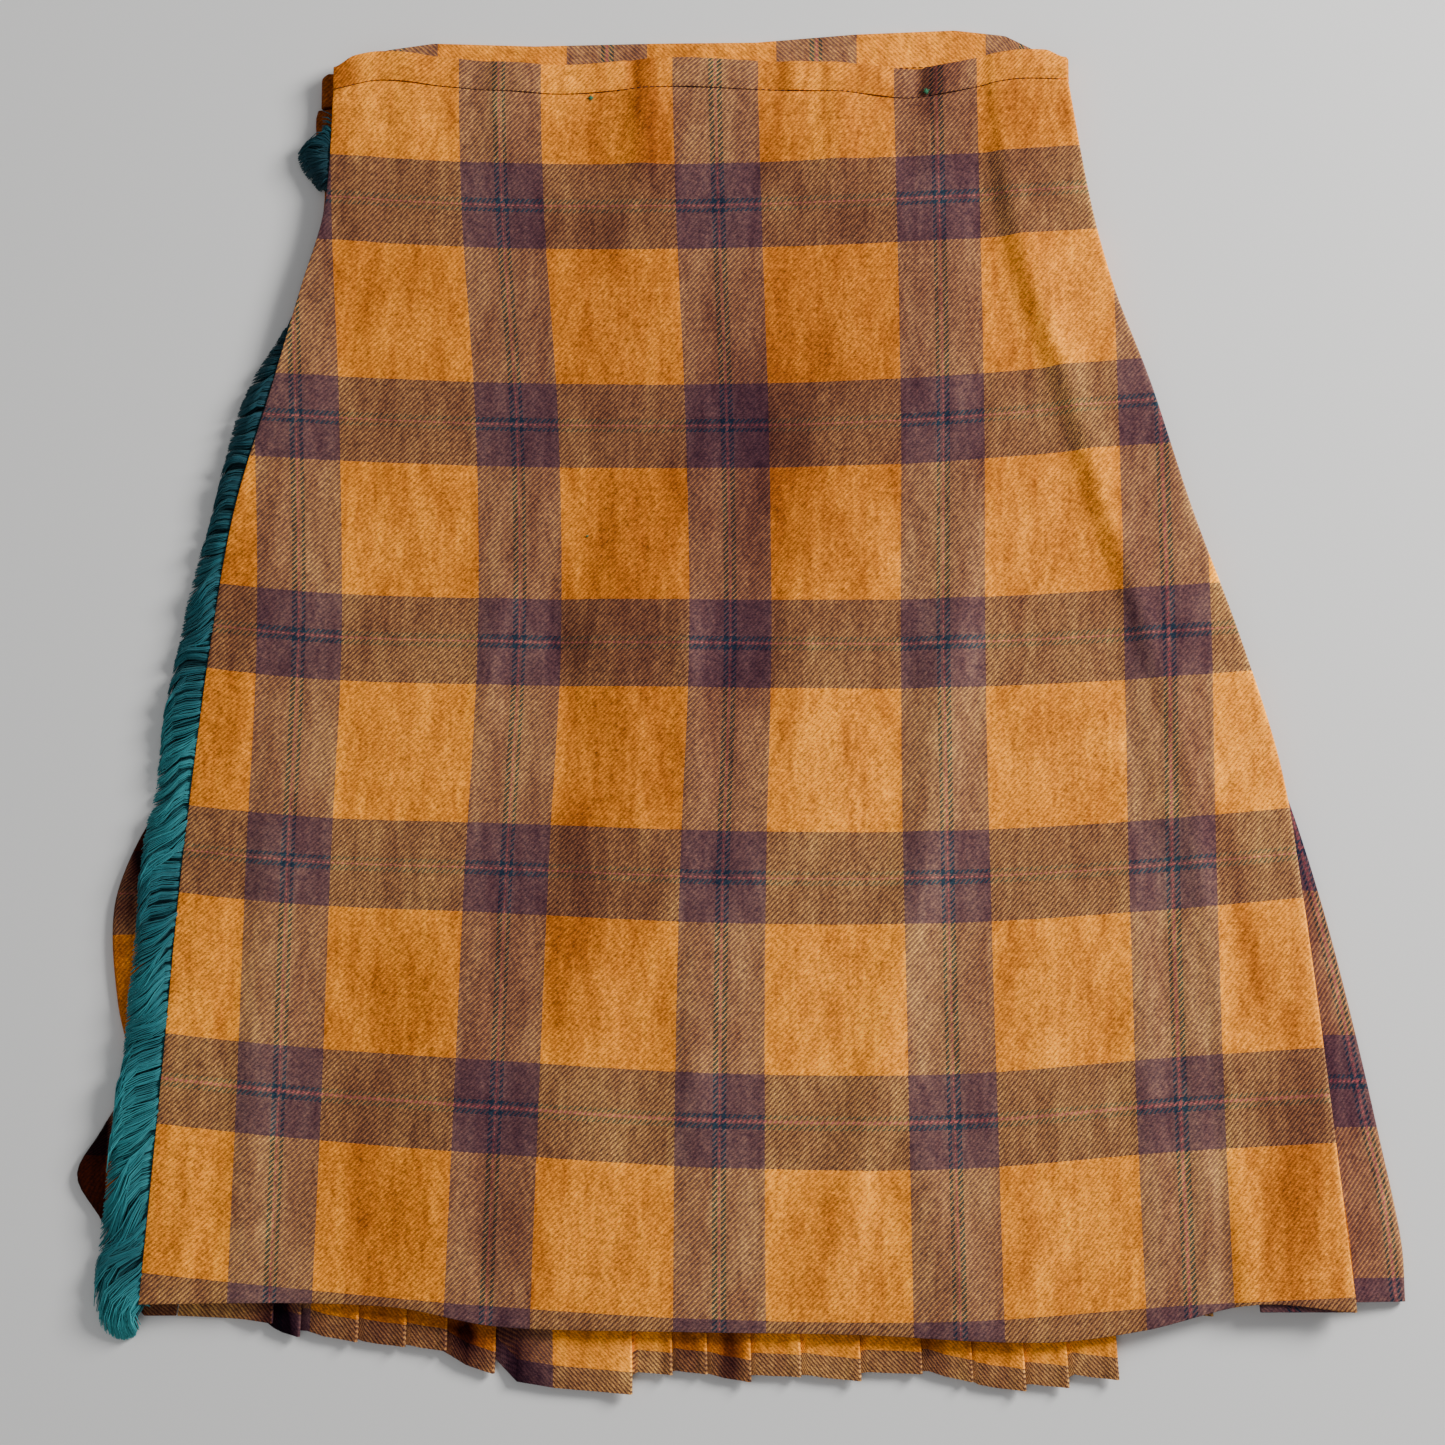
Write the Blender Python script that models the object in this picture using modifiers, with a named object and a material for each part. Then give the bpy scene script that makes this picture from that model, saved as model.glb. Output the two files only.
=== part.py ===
"""Checked wool kilt, fastened and laid flat with its front apron up.

The pleated back lies underneath, the under apron on it, and the fringed front apron on top.
+X points to the right of the apron as it faces up, +Y from the hem to the waist, +Z up.
The origin is on the surface that the kilt lies on, under the middle of its box.
Lengths are metres. The tables are measured from the middle of the apron, and MIDDLE moves
what is made from them to the origin.
"""

import math
from collections import namedtuple

import bmesh
import bpy
from mathutils import Vector

GARMENT = "kilt"
MIDDLE = (0.0087, 0.0156)

# Cloth
WALL = 0.0010
BAND_WALL = 0.0016
FOLD_AIR = 0.00035
SEAM = 0.0003
LAYER = WALL + FOLD_AIR
OPEN_LAYER = 0.0018

# Middle of each layer above the surface
FLOOR_UP = WALL / 2
UNDER_UP = 0.0063
SIDE_UP = UNDER_UP + OPEN_LAYER
RETURN_UP = SIDE_UP + OPEN_LAYER
CREASE_UP = RETURN_UP + OPEN_LAYER
APRON_UP = 0.0088
EDGE_UP = 0.0100
TROUGH_UP = 0.0079
LOWEST_APRON = 0.0077
WAIST_UP = 0.0097
LOWEST_WAIST = 0.0088

# Front apron: its edges at ten heights, its hem and the waist seam
Edge = namedtuple("Edge", "up left right")
APRON_EDGES = (
    Edge(-0.270, -0.2630, 0.2853),
    Edge(-0.210, -0.2583, 0.2793),
    Edge(-0.150, -0.2538, 0.2732),
    Edge(-0.080, -0.2488, 0.2653),
    Edge(-0.020, -0.2431, 0.2566),
    Edge(0.040, -0.2363, 0.2393),
    Edge(0.100, -0.2270, 0.2185),
    Edge(0.160, -0.2105, 0.2003),
    Edge(0.205, -0.1984, 0.1842),
    Edge(0.245, -0.1876, 0.1740),
    Edge(0.310, -0.1840, 0.1632),
)
Point = namedtuple("Point", "across up")
APRON_HEM = (
    Point(-0.263, -0.2633),
    Point(-0.190, -0.2628),
    Point(-0.145, -0.2650),
    Point(-0.100, -0.2732),
    Point(-0.020, -0.2755),
    Point(0.060, -0.2768),
    Point(0.145, -0.2803),
    Point(0.190, -0.2750),
    Point(0.241, -0.2634),
    Point(0.285, -0.2668),
)
WAIST_SEAM = (
    Point(-0.1840, 0.3025),
    Point(-0.1625, 0.3070),
    Point(-0.1350, 0.3042),
    Point(-0.1026, 0.3015),
    Point(-0.0728, 0.3003),
    Point(-0.0235, 0.3040),
    Point(0.0135, 0.3025),
    Point(0.0519, 0.3015),
    Point(0.0908, 0.2988),
    Point(0.1387, 0.3070),
    Point(0.1630, 0.3070),
)
PANEL_SHARES = (
    0.0, 0.03, 0.065, 0.12, 0.18, 0.24, 0.30, 0.36, 0.42, 0.48, 0.54,
    0.60, 0.66, 0.72, 0.77, 0.82, 0.855, 0.885, 0.915, 0.96, 1.0,
)
APRON_ROWS = 22
CREASE_TURN = OPEN_LAYER / 2
RETURN_WIDTH = 0.042
RETURN_TAPER = 0.012

# Zones in which the apron's height changes, measured from its crease, its left edge or up
Zone = namedtuple("Zone", "start run")
OFF_RETURN = Zone(0.004, 0.012)
OUT_OF_TROUGH = Zone(0.018, 0.022)
OFF_EDGE = Zone(0.018, 0.012)
TO_WAIST = Zone(0.262, 0.024)
CALM_CREASE = Zone(0.0, 0.050)
CALM_EDGE = Zone(0.010, 0.030)

# Soft folds of the apron: a ridge, or a trough where the rise is below zero
Fold = namedtuple("Fold", "low_across low_up high_across high_up rise spread")
FOLDS = (
    Fold(0.110, -0.245, 0.122, 0.120, 0.0042, 0.020),
    Fold(0.080, -0.080, 0.084, 0.130, -0.0012, 0.013),
    Fold(-0.030, -0.130, -0.044, 0.090, 0.0026, 0.024),
    Fold(0.012, -0.255, 0.006, -0.060, -0.0010, 0.016),
    Fold(-0.120, -0.262, -0.150, 0.070, 0.0022, 0.026),
    Fold(-0.085, -0.250, -0.092, 0.020, -0.0010, 0.015),
    Fold(-0.200, -0.250, -0.176, 0.200, 0.0020, 0.020),
    Fold(-0.040, 0.262, -0.036, 0.304, 0.0022, 0.008),
    Fold(0.052, 0.268, 0.060, 0.303, 0.0016, 0.010),
    Fold(0.088, 0.255, 0.086, 0.300, -0.0010, 0.007),
    Fold(-0.105, 0.275, -0.100, 0.303, 0.0014, 0.011),
    Fold(-0.150, 0.270, -0.148, 0.305, 0.0010, 0.012),
    Fold(0.214, -0.262, 0.190, 0.080, 0.0024, 0.015),
)

# Side pleat: how far it comes out from under the apron's crease
Reach = namedtuple("Reach", "up out")
SIDE_REACHES = (
    Reach(-0.262, 0.0242),
    Reach(-0.236, 0.0258),
    Reach(-0.186, 0.0215),
    Reach(-0.131, 0.0157),
    Reach(-0.077, 0.0087),
    Reach(-0.035, 0.0014),
    Reach(-0.010, -0.0034),
    Reach(0.305, -0.0034),
)
SIDE_HEM = -0.2625
SIDE_WAIST = 0.2960
SIDE_DROP = 0.22
SIDE_LOWEST = 0.0036
SIDE_SHY = 0.0010
SIDE_SAG = 0.4

# Under apron and the plain stretch that joins it to the pleats round the left side
LEFT_SIDE = (
    Point(-0.2630, -0.266),
    Point(-0.2720, -0.245),
    Point(-0.2820, -0.226),
    Point(-0.2935, -0.206),
    Point(-0.2830, -0.186),
    Point(-0.2710, -0.162),
    Point(-0.2770, -0.128),
    Point(-0.2802, -0.097),
    Point(-0.2780, -0.076),
    Point(-0.2662, -0.048),
    Point(-0.2500, -0.025),
    Point(-0.2390, 0.012),
    Point(-0.2320, 0.060),
    Point(-0.2240, 0.115),
    Point(-0.2130, 0.154),
    Point(-0.1990, 0.202),
    Point(-0.1888, 0.250),
    Point(-0.1935, 0.290),
    Point(-0.1868, 0.306),
)
UNDER_ROWS = 23
UNDER_HEM = -0.2570
FLOOR_HEM = -0.2690
SIDE_TURN = 0.0013
SIDE_CLIMB = 0.020
SIDE_SPREAD = 0.005
UNDER_SHORT = 0.016
UNDER_WAIST = 0.2950
WAIST_CLIMB = 0.6

# Pleats: the hem end of each inner fold from left to right, and how much higher the cloth
# tucked behind it ends
Pleat = namedtuple("Pleat", "across up tuck")
PLEATS = (
    Pleat(-0.2040, -0.2720, 0.0020),
    Pleat(-0.1918, -0.2781, 0.0048),
    Pleat(-0.1656, -0.2803, 0.0060),
    Pleat(-0.1440, -0.2825, 0.0030),
    Pleat(-0.1255, -0.2843, 0.0030),
    Pleat(-0.1038, -0.2945, 0.0100),
    Pleat(-0.0416, -0.3035, 0.0070),
    Pleat(-0.0236, -0.2949, 0.0015),
    Pleat(-0.0079, -0.2945, 0.0018),
    Pleat(0.0119, -0.2980, 0.0040),
    Pleat(0.0344, -0.2958, 0.0010),
    Pleat(0.0614, -0.2976, 0.0032),
    Pleat(0.0889, -0.2945, 0.0010),
    Pleat(0.1118, -0.2980, 0.0060),
    Pleat(0.1356, -0.3020, 0.0035),
    Pleat(0.1550, -0.3006, 0.0020),
    Pleat(0.1775, -0.2971, 0.0030),
    Pleat(0.1996, -0.2719, 0.0030),
    Pleat(0.2204, -0.2690, 0.0030),
    Pleat(0.2436, -0.2630, 0.0020),
    Pleat(0.2640, -0.2622, 0.0020),
)
PLEAT_WAIST_LEFT = -0.150
PLEAT_WAIST_RIGHT = 0.148
PLEAT_RISES = (0.0, 0.25, 0.50, 0.68, 0.85, 1.0)
TUCK_DEPTH = 0.78
WIDE_PLEAT = 0.036
TUCK_BEND = 0.8
FIRST_FLAT = 1.1
FIRST_CLIMB = 0.2
LAST_FLAT = 0.15
OPEN_SHARE = 0.3
RAMP_END = 0.92
RAMP_SHARE = 0.42
RAMP_MOST = 0.0095
FOLD_TURN = LAYER / 2
# How much of a pleat's tuck the hem has at each part of it, from its inner fold down
Tucked = namedtuple("Tucked", "fold bend deep floor climb open")
TUCKED = Tucked(0.05, 0.5, 1.0, 0.6, 0.8, 0.4)
Flare = namedtuple("Flare", "rise narrowing")
FLARES = (
    Flare(0.00, 0.00),
    Flare(0.25, 0.12),
    Flare(0.50, 0.33),
    Flare(0.68, 0.61),
    Flare(0.85, 0.87),
    Flare(1.00, 1.00),
)

# Joins of the pleated back with the cloth beside it, straight lines from hem to waist
Join = namedtuple("Join", "hem_across waist_across")
LEFT_JOIN = Join(-0.246, -0.176)
RIGHT_JOIN = Join(0.282, 0.148)
JOIN_HEM_UP = -0.262
JOIN_WAIST_UP = 0.306

# Waistband
BAND_HEIGHT = 0.0140
BAND_INSIDE_HEIGHT = 0.0190
Band = namedtuple("Band", "across top")
BAND_BACK = (
    Band(-0.190, 0.2995),
    Band(-0.184, 0.3115),
    Band(-0.161, 0.3248),
    Band(-0.138, 0.3282),
    Band(-0.090, 0.3268),
    Band(-0.032, 0.3282),
    Band(0.016, 0.3287),
    Band(0.063, 0.3327),
    Band(0.111, 0.3347),
    Band(0.135, 0.3320),
    Band(0.149, 0.3250),
    Band(0.158, 0.3170),
)
BAND_FLOOR_UP = BAND_WALL / 2
BAND_UNDER_UP = 0.0067
BAND_UNDER_RIGHT = 0.120
BAND_UNDER_TOP = 0.3110
BAND_ROUND = 0.010
BAND_ROUND_DROP = 0.0035
BAND_LEFT_IN = 0.003
BAND_ROLL_IN = 0.0010
BAND_ROLL_SHARE = 0.25
BAND_ROWS = 3
BAND_UNDER_COLUMNS = 6

# Fringe along the apron's left edge
Brush = namedtuple("Brush", "up inset reach drop")
BRUSHES = (
    Brush(-0.2585, 0.0030, 0.0262, 0.0165),
    Brush(-0.224, 0.0030, 0.0258, 0.0155),
    Brush(-0.165, 0.0030, 0.0242, 0.0140),
    Brush(-0.110, 0.0030, 0.0226, 0.0120),
    Brush(-0.050, 0.0030, 0.0225, 0.0105),
    Brush(0.000, 0.0030, 0.0218, 0.0090),
    Brush(0.040, 0.0030, 0.0198, 0.0075),
    Brush(0.090, 0.0030, 0.0170, 0.0060),
    Brush(0.145, 0.0035, 0.0175, 0.0045),
    Brush(0.160, 0.0050, 0.0130, 0.0040),
    Brush(0.178, 0.0120, -0.0030, 0.0030),
    Brush(0.244, 0.0120, -0.0030, 0.0020),
    Brush(0.258, 0.0070, 0.0070, 0.0010),
    Brush(0.268, 0.0040, 0.0140, 0.0000),
    Brush(0.280, 0.0035, 0.0135, -0.0025),
)
LOCKS = 140
LOCK_SHARE = 0.62
STRIP_WIDTH = 0.0024
STRIP_WALL = 0.0014
STRIP_UP = 0.0080
LOCK_MIDDLE = 0.55
LOCK_FULL = 0.0021
LOCK_LIFTS = (0.0018, -0.0006, 0.0009, -0.0014)
LOCK_TIP_UP = 0.0021
LOCK_CLEAR = 0.0012
LOCK_STEP = 0.0035
LOCK_WAVE = 0.0008
LOCK_WAVE_TURN = 1.7
LOCK_UNEVEN = 0.06
LOCK_UNEVEN_TURN = 2.3
LOCK_SWEEP = 0.7
LOCK_SINK = 0.4
LOCK_FLATNESS = 0.85
TUCKED_LOCK = 0.0014
ROOF_SPREAD = 0.005

CLOTH_COLOUR = (0.52, 0.22, 0.045)
SHADE_COLOUR = (0.30, 0.13, 0.045)
BAND_COLOUR = (0.45, 0.20, 0.05)
FRINGE_COLOUR = (0.008, 0.085, 0.10)
CLOTH_ROUGHNESS = 0.85
FRINGE_ROUGHNESS = 0.9


def curve_through(knots, place):
    """Smooth curve through (place, value) knots in rising order, level past both ends."""
    if place <= knots[0][0]:
        return knots[0][1]
    if place >= knots[-1][0]:
        return knots[-1][1]
    index = max(i for i in range(len(knots) - 1) if knots[i][0] <= place)
    (start, low), (end, high) = knots[index], knots[index + 1]
    run = end - start

    def slope(i):
        before = knots[max(i - 1, 0)]
        after = knots[min(i + 1, len(knots) - 1)]
        return (after[1] - before[1]) / (after[0] - before[0]) * run

    t = (place - start) / run
    return (
        low * (1 + 2 * t) * (1 - t) ** 2
        + slope(index) * t * (1 - t) ** 2
        + high * t * t * (3 - 2 * t)
        - slope(index + 1) * t * t * (1 - t)
    )


def mix(start, end, share):
    return start + (end - start) * share


def ease(share):
    """Rise from 0 to 1 that starts and ends level."""
    share = min(max(share, 0.0), 1.0)
    return share * share * (3 - 2 * share)


def passed(zone, place):
    return ease((place - zone.start) / zone.run)


LEFT_KNOTS = [(edge.up, edge.left) for edge in APRON_EDGES]
RIGHT_KNOTS = [(edge.up, edge.right) for edge in APRON_EDGES]
SIDE_KNOTS = [(reach.up, reach.out) for reach in SIDE_REACHES]
ROLL_KNOTS = [(point.up, point.across) for point in LEFT_SIDE]


def apron_left(up):
    return curve_through(LEFT_KNOTS, up)


def apron_right(up):
    return curve_through(RIGHT_KNOTS, up)


def roll_left(up):
    return curve_through(ROLL_KNOTS, up)


def return_width(up):
    """Depth of the fold that the crease turns under, narrower at the waist."""
    rise = (up - APRON_HEM[-1].up) / (WAIST_SEAM[-1].up - APRON_HEM[-1].up)
    return RETURN_WIDTH - RETURN_TAPER * rise


def side_climb(up):
    """How far in from the left side the under apron takes to rise over the pleats."""
    rise = (up - UNDER_HEM) / (UNDER_WAIST - UNDER_HEM)
    return SIDE_CLIMB * mix(1.0, WAIST_CLIMB, rise)


def side_right(up):
    return apron_right(up) + curve_through(SIDE_KNOTS, up)


def band_top(across):
    """Upper edge of the waistband's back stretch, straight between the rows of its table."""
    rows = BAND_BACK
    index = sum(row.across <= across for row in rows[1:-1])
    start, end = rows[index], rows[index + 1]
    share = (across - start.across) / (end.across - start.across)
    return mix(start.top, end.top, share)


def join_across(join, up):
    share = (up - JOIN_HEM_UP) / (JOIN_WAIST_UP - JOIN_HEM_UP)
    return mix(join.hem_across, join.waist_across, share)


def fold_rise(across, up):
    """Height that the soft folds add at a place on the apron."""
    total = 0.0
    for fold in FOLDS:
        run = Vector((fold.high_across - fold.low_across, fold.high_up - fold.low_up))
        way = Vector((across - fold.low_across, up - fold.low_up))
        share = min(max(way.dot(run) / run.length_squared, 0.0), 1.0)
        off = (way - run * share).length
        total += fold.rise * math.exp(-((off / fold.spread) ** 2))
    return total


def apron_height(across, up):
    """Middle of the apron above the surface: high over the deep pleat, low beside it."""
    from_crease = apron_right(up) - across
    from_left = across - apron_left(up)
    past_return = from_crease - return_width(up)
    flat = mix(TROUGH_UP, APRON_UP, passed(OUT_OF_TROUGH, past_return))
    flat = mix(EDGE_UP, flat, passed(OFF_EDGE, from_left))
    flat = mix(CREASE_UP, flat, passed(OFF_RETURN, past_return))
    near_waist = passed(TO_WAIST, up)
    flat = max(flat, mix(flat, WAIST_UP, near_waist))
    calm = passed(CALM_CREASE, from_crease) * passed(CALM_EDGE, from_left)
    lowest = mix(LOWEST_APRON, LOWEST_WAIST, near_waist)
    return max(flat + fold_rise(across, up) * calm, lowest)


def apron_point(column, rise):
    """Place on the apron, column 0 to 1 from the left edge to the crease, rise 0 to 1 up."""
    hem_left, hem_right = apron_left(APRON_HEM[0].up), apron_right(APRON_HEM[-1].up)
    hem_up = curve_through(APRON_HEM, mix(hem_left, hem_right, column))
    waist_left, waist_right = WAIST_SEAM[0].across, WAIST_SEAM[-1].across
    waist_up = curve_through(WAIST_SEAM, mix(waist_left, waist_right, column)) - SEAM
    up = mix(hem_up, waist_up, rise)
    across = mix(apron_left(up), apron_right(up) - CREASE_TURN - WALL / 2, column)
    return Vector((across, up, apron_height(across, up)))


def placed(point):
    return Vector((point[0] - MIDDLE[0], point[1] - MIDDLE[1], point[2]))


def material(name, colour, roughness):
    made = bpy.data.materials.new(name)
    made.use_nodes = True
    shader = made.node_tree.nodes["Principled BSDF"]
    shader.inputs["Base Color"].default_value = (*colour, 1)
    shader.inputs["Roughness"].default_value = roughness
    shader.inputs["Metallic"].default_value = 0.0
    made.diffuse_color = (*colour, 1)
    return made


def add_object(name, mesh, made_of):
    piece = bpy.data.objects.new(name, mesh)
    piece.data.materials.append(made_of)
    bpy.data.collections[GARMENT].objects.link(piece)
    return piece


def cloth(name, columns, rows, point_at, wall, made_of):
    """Wall of cloth: a grid laid by point_at(column, row), given its thickness."""
    shape = bmesh.new()
    bmesh.ops.create_grid(
        shape, x_segments=columns - 1, y_segments=rows - 1, size=0.5
    )
    for vertex in shape.verts:
        column = round((vertex.co.x + 0.5) * (columns - 1))
        row = round((vertex.co.y + 0.5) * (rows - 1))
        vertex.co = placed(point_at(column, row))
    mesh = bpy.data.meshes.new(name)
    shape.to_mesh(mesh)
    shape.free()
    piece = add_object(name, mesh, made_of)
    piece.data.shade_smooth()
    thickness = piece.modifiers.new("Wall", "SOLIDIFY")
    thickness.thickness = wall
    thickness.offset = 0
    thickness.use_even_offset = True
    return piece


def front_apron(made_of):
    """Panel from the fringed edge to the crease, and its return under the crease."""
    turns = [math.radians(angle) for angle in (45, 0, -45, -90)]
    returns = (0.5, 1.0)

    def point_at(column, row):
        rise = row / (APRON_ROWS - 1)
        if column < len(PANEL_SHARES):
            return apron_point(PANEL_SHARES[column], rise)
        last = apron_point(1.0, rise)
        centre = last.z - CREASE_TURN
        step = column - len(PANEL_SHARES)
        if step < len(turns):
            across = last.x + CREASE_TURN * math.cos(turns[step])
            return Vector((across, last.y, centre + CREASE_TURN * math.sin(turns[step])))
        across = last.x - return_width(last.y) * returns[step - len(turns)]
        return Vector((across, last.y, apron_height(across, last.y) - OPEN_LAYER))

    columns = len(PANEL_SHARES) + len(turns) + len(returns)
    return cloth("front_apron", columns, APRON_ROWS, point_at, WALL, made_of)


def side_pleat(made_of):
    """Cloth from inside the deep pleat, out past the crease, round the side to the back."""
    inner_turns = [math.radians(angle) for angle in (90, 135, 180, 225, 270)]
    outer_turns = [math.radians(angle) for angle in (90, 45, 0, -45, -90)]

    def point_at(column, row):
        up = mix(SIDE_HEM, SIDE_WAIST, row / (APRON_ROWS - 1))
        crease = apron_right(up)
        right = side_right(up)
        inner = crease - CREASE_TURN - WALL / 2 - return_width(up) - 2 * SEAM
        if column < len(inner_turns):
            angle = inner_turns[column]
            across = inner + CREASE_TURN * math.cos(angle)
            return Vector((across, up, SIDE_UP + CREASE_TURN * (1 + math.sin(angle))))
        column -= len(inner_turns)
        out = max(right - crease, 0.0)
        top = max(SIDE_LOWEST, SIDE_UP - SIDE_DROP * out)
        turn = (top - FLOOR_UP) / 2
        centre = right - WALL / 2 - turn
        start = min(crease, centre) - SIDE_SHY
        slope = (
            Vector((mix(inner, start, 0.5), up, SIDE_UP)),
            Vector((start, up, SIDE_UP)),
            Vector((mix(start, centre, 0.5), up, mix(top, SIDE_UP, SIDE_SAG))),
        )
        if column < len(slope):
            return slope[column]
        column -= len(slope)
        if column < len(outer_turns):
            angle = outer_turns[column]
            height = FLOOR_UP + turn * (1 + math.sin(angle))
            return Vector((centre + turn * math.cos(angle), up, height))
        end = join_across(RIGHT_JOIN, up) + SEAM
        return Vector((min(end, centre - SEAM), up, FLOOR_UP))

    slope_columns, last_column = 3, 1
    columns = len(inner_turns) + slope_columns + len(outer_turns) + last_column
    return cloth("side_pleat", columns, APRON_ROWS, point_at, WALL, made_of)


def under_apron(made_of):
    """Plain stretch on the surface, round the left side and back over the pleats."""
    turns = [math.radians(angle) for angle in (270, 225, 180, 135, 90)]
    spans = (0.16, 0.40, 0.70, 1.0)

    def point_at(column, row):
        lift = (column - 1) / (len(turns) + 1)
        hem = mix(FLOOR_HEM, UNDER_HEM, ease(lift))
        up = mix(hem, UNDER_WAIST - 2 * SEAM, row / (UNDER_ROWS - 1))
        if column == 0:
            return Vector((join_across(LEFT_JOIN, up) - SEAM, up, FLOOR_UP))
        left = roll_left(up) + WALL / 2 + SIDE_TURN
        if column <= len(turns):
            angle = turns[column - 1]
            height = FLOOR_UP + SIDE_TURN * (1 + math.sin(angle))
            return Vector((left + SIDE_TURN * math.cos(angle), up, height))
        column -= len(turns) + 1
        climb = left + side_climb(up)
        if column == 0:
            return Vector((climb, up, UNDER_UP))
        right = apron_right(up) - UNDER_SHORT
        return Vector((mix(climb, right, spans[column - 1]), up, UNDER_UP))

    columns = 1 + len(turns) + 1 + len(spans)
    return cloth("under_apron", columns, UNDER_ROWS, point_at, WALL, made_of)


def pleat_edges(narrowing):
    """Where the inner folds lie across, from left to right, at a share of the taper."""
    last = len(PLEATS) - 1
    return [
        mix(
            pleat.across,
            mix(PLEAT_WAIST_LEFT, PLEAT_WAIST_RIGHT, index / last),
            narrowing,
        )
        for index, pleat in enumerate(PLEATS)
    ]


def pleat_turns(edges):
    """Where the outer folds lie, each tucked back behind its inner fold."""
    turns = [edges[0] - TUCK_DEPTH * (edges[1] - edges[0])]
    before = edges[1] - edges[0]
    for i in range(1, len(edges)):
        width = edges[i] - edges[i - 1]
        clear_of_last = edges[i - 1] + (1 - TUCK_DEPTH) * min(before, WIDE_PLEAT)
        turns.append(max(edges[i] - TUCK_DEPTH * width, clear_of_last))
        before = width
    return turns


def ramp_of(span):
    """Start and end of the climb over the next fold, from the outer fold before it."""
    end = span * RAMP_END
    return end - min(span * RAMP_SHARE, RAMP_MOST), end


def climb_at(place, span):
    start, end = ramp_of(span)
    return 2 * LAYER * min(max((place - start) / (end - start), 0.0), 1.0)


def pleat_path(narrowing):
    """One row of the pleated back as (across, height, pleat, tucked), left to right."""
    edges = pleat_edges(narrowing)
    turns = pleat_turns(edges)
    middle, top = FLOOR_UP + LAYER, FLOOR_UP + 2 * LAYER
    path = []
    for index, (edge, turn) in enumerate(zip(edges, turns)):
        last = index == len(edges) - 1
        span = edge - turn if last else turns[index + 1] - turn
        climb = 0.0 if last else climb_at(edge - turn, span)
        rise_start, rise_end = ramp_of(span)
        path.append((edge, top + climb, index, 0.0))
        path.append((edge + FOLD_TURN, top + climb - FOLD_TURN, index, 0.0))
        path.append((edge, middle + climb, index, TUCKED.fold))
        bend = turn + min(rise_start, (edge - turn) * TUCK_BEND)
        path.append((bend, middle, index, TUCKED.bend))
        path.append((turn, middle, index, TUCKED.deep))
        path.append((turn - FOLD_TURN, middle - FOLD_TURN, index, TUCKED.deep))
        path.append((turn, FLOOR_UP, index, TUCKED.deep))
        flat = span * LAST_FLAT if last else rise_start
        path.append((turn + flat, FLOOR_UP, index, TUCKED.floor))
        if not last:
            open_across = mix(turns[index + 1], edges[index + 1], OPEN_SHARE)
            path.append((turn + rise_end, top, index + 1, TUCKED.climb))
            path.append((open_across, top, index + 1, TUCKED.open))
    lead = edges[0] - turns[0]
    start = [
        (turns[0] - FIRST_FLAT * lead, FLOOR_UP, 0, TUCKED.deep),
        (turns[0] - FIRST_CLIMB * lead, top, 0, TUCKED.climb),
    ]
    return start + path


def pleated_back(made_of):
    """Back of knife pleats with their inner folds up, each tucked under the next."""
    paths = [
        pleat_path(curve_through(FLARES, rise)) for rise in PLEAT_RISES
    ]
    inner_columns = len(paths[0])
    columns = inner_columns + 2

    def point_at(column, row):
        rise = PLEAT_RISES[row]
        inside = min(max(column - 1, 0), inner_columns - 1)
        across, height, index, tucked = paths[row][inside]
        pleat = PLEATS[index]
        hem_up = pleat.up + pleat.tuck * tucked
        waist_across = paths[-1][inside][0]
        join = {0: LEFT_JOIN, columns - 1: RIGHT_JOIN}.get(column)
        if join:
            hem_up = FLOOR_HEM if column == 0 else hem_up
            waist_across = join.waist_across
        up = mix(hem_up, band_top(waist_across) - BAND_INSIDE_HEIGHT - 2 * SEAM, rise)
        if join:
            across = join_across(join, up) + (SEAM if column == 0 else -SEAM)
            height = FLOOR_UP
        return Vector((across, up, height))

    return cloth("pleated_back", columns, len(PLEAT_RISES), point_at, WALL, made_of)


def back_seam(top):
    return max(top - BAND_INSIDE_HEIGHT, UNDER_WAIST)


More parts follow.
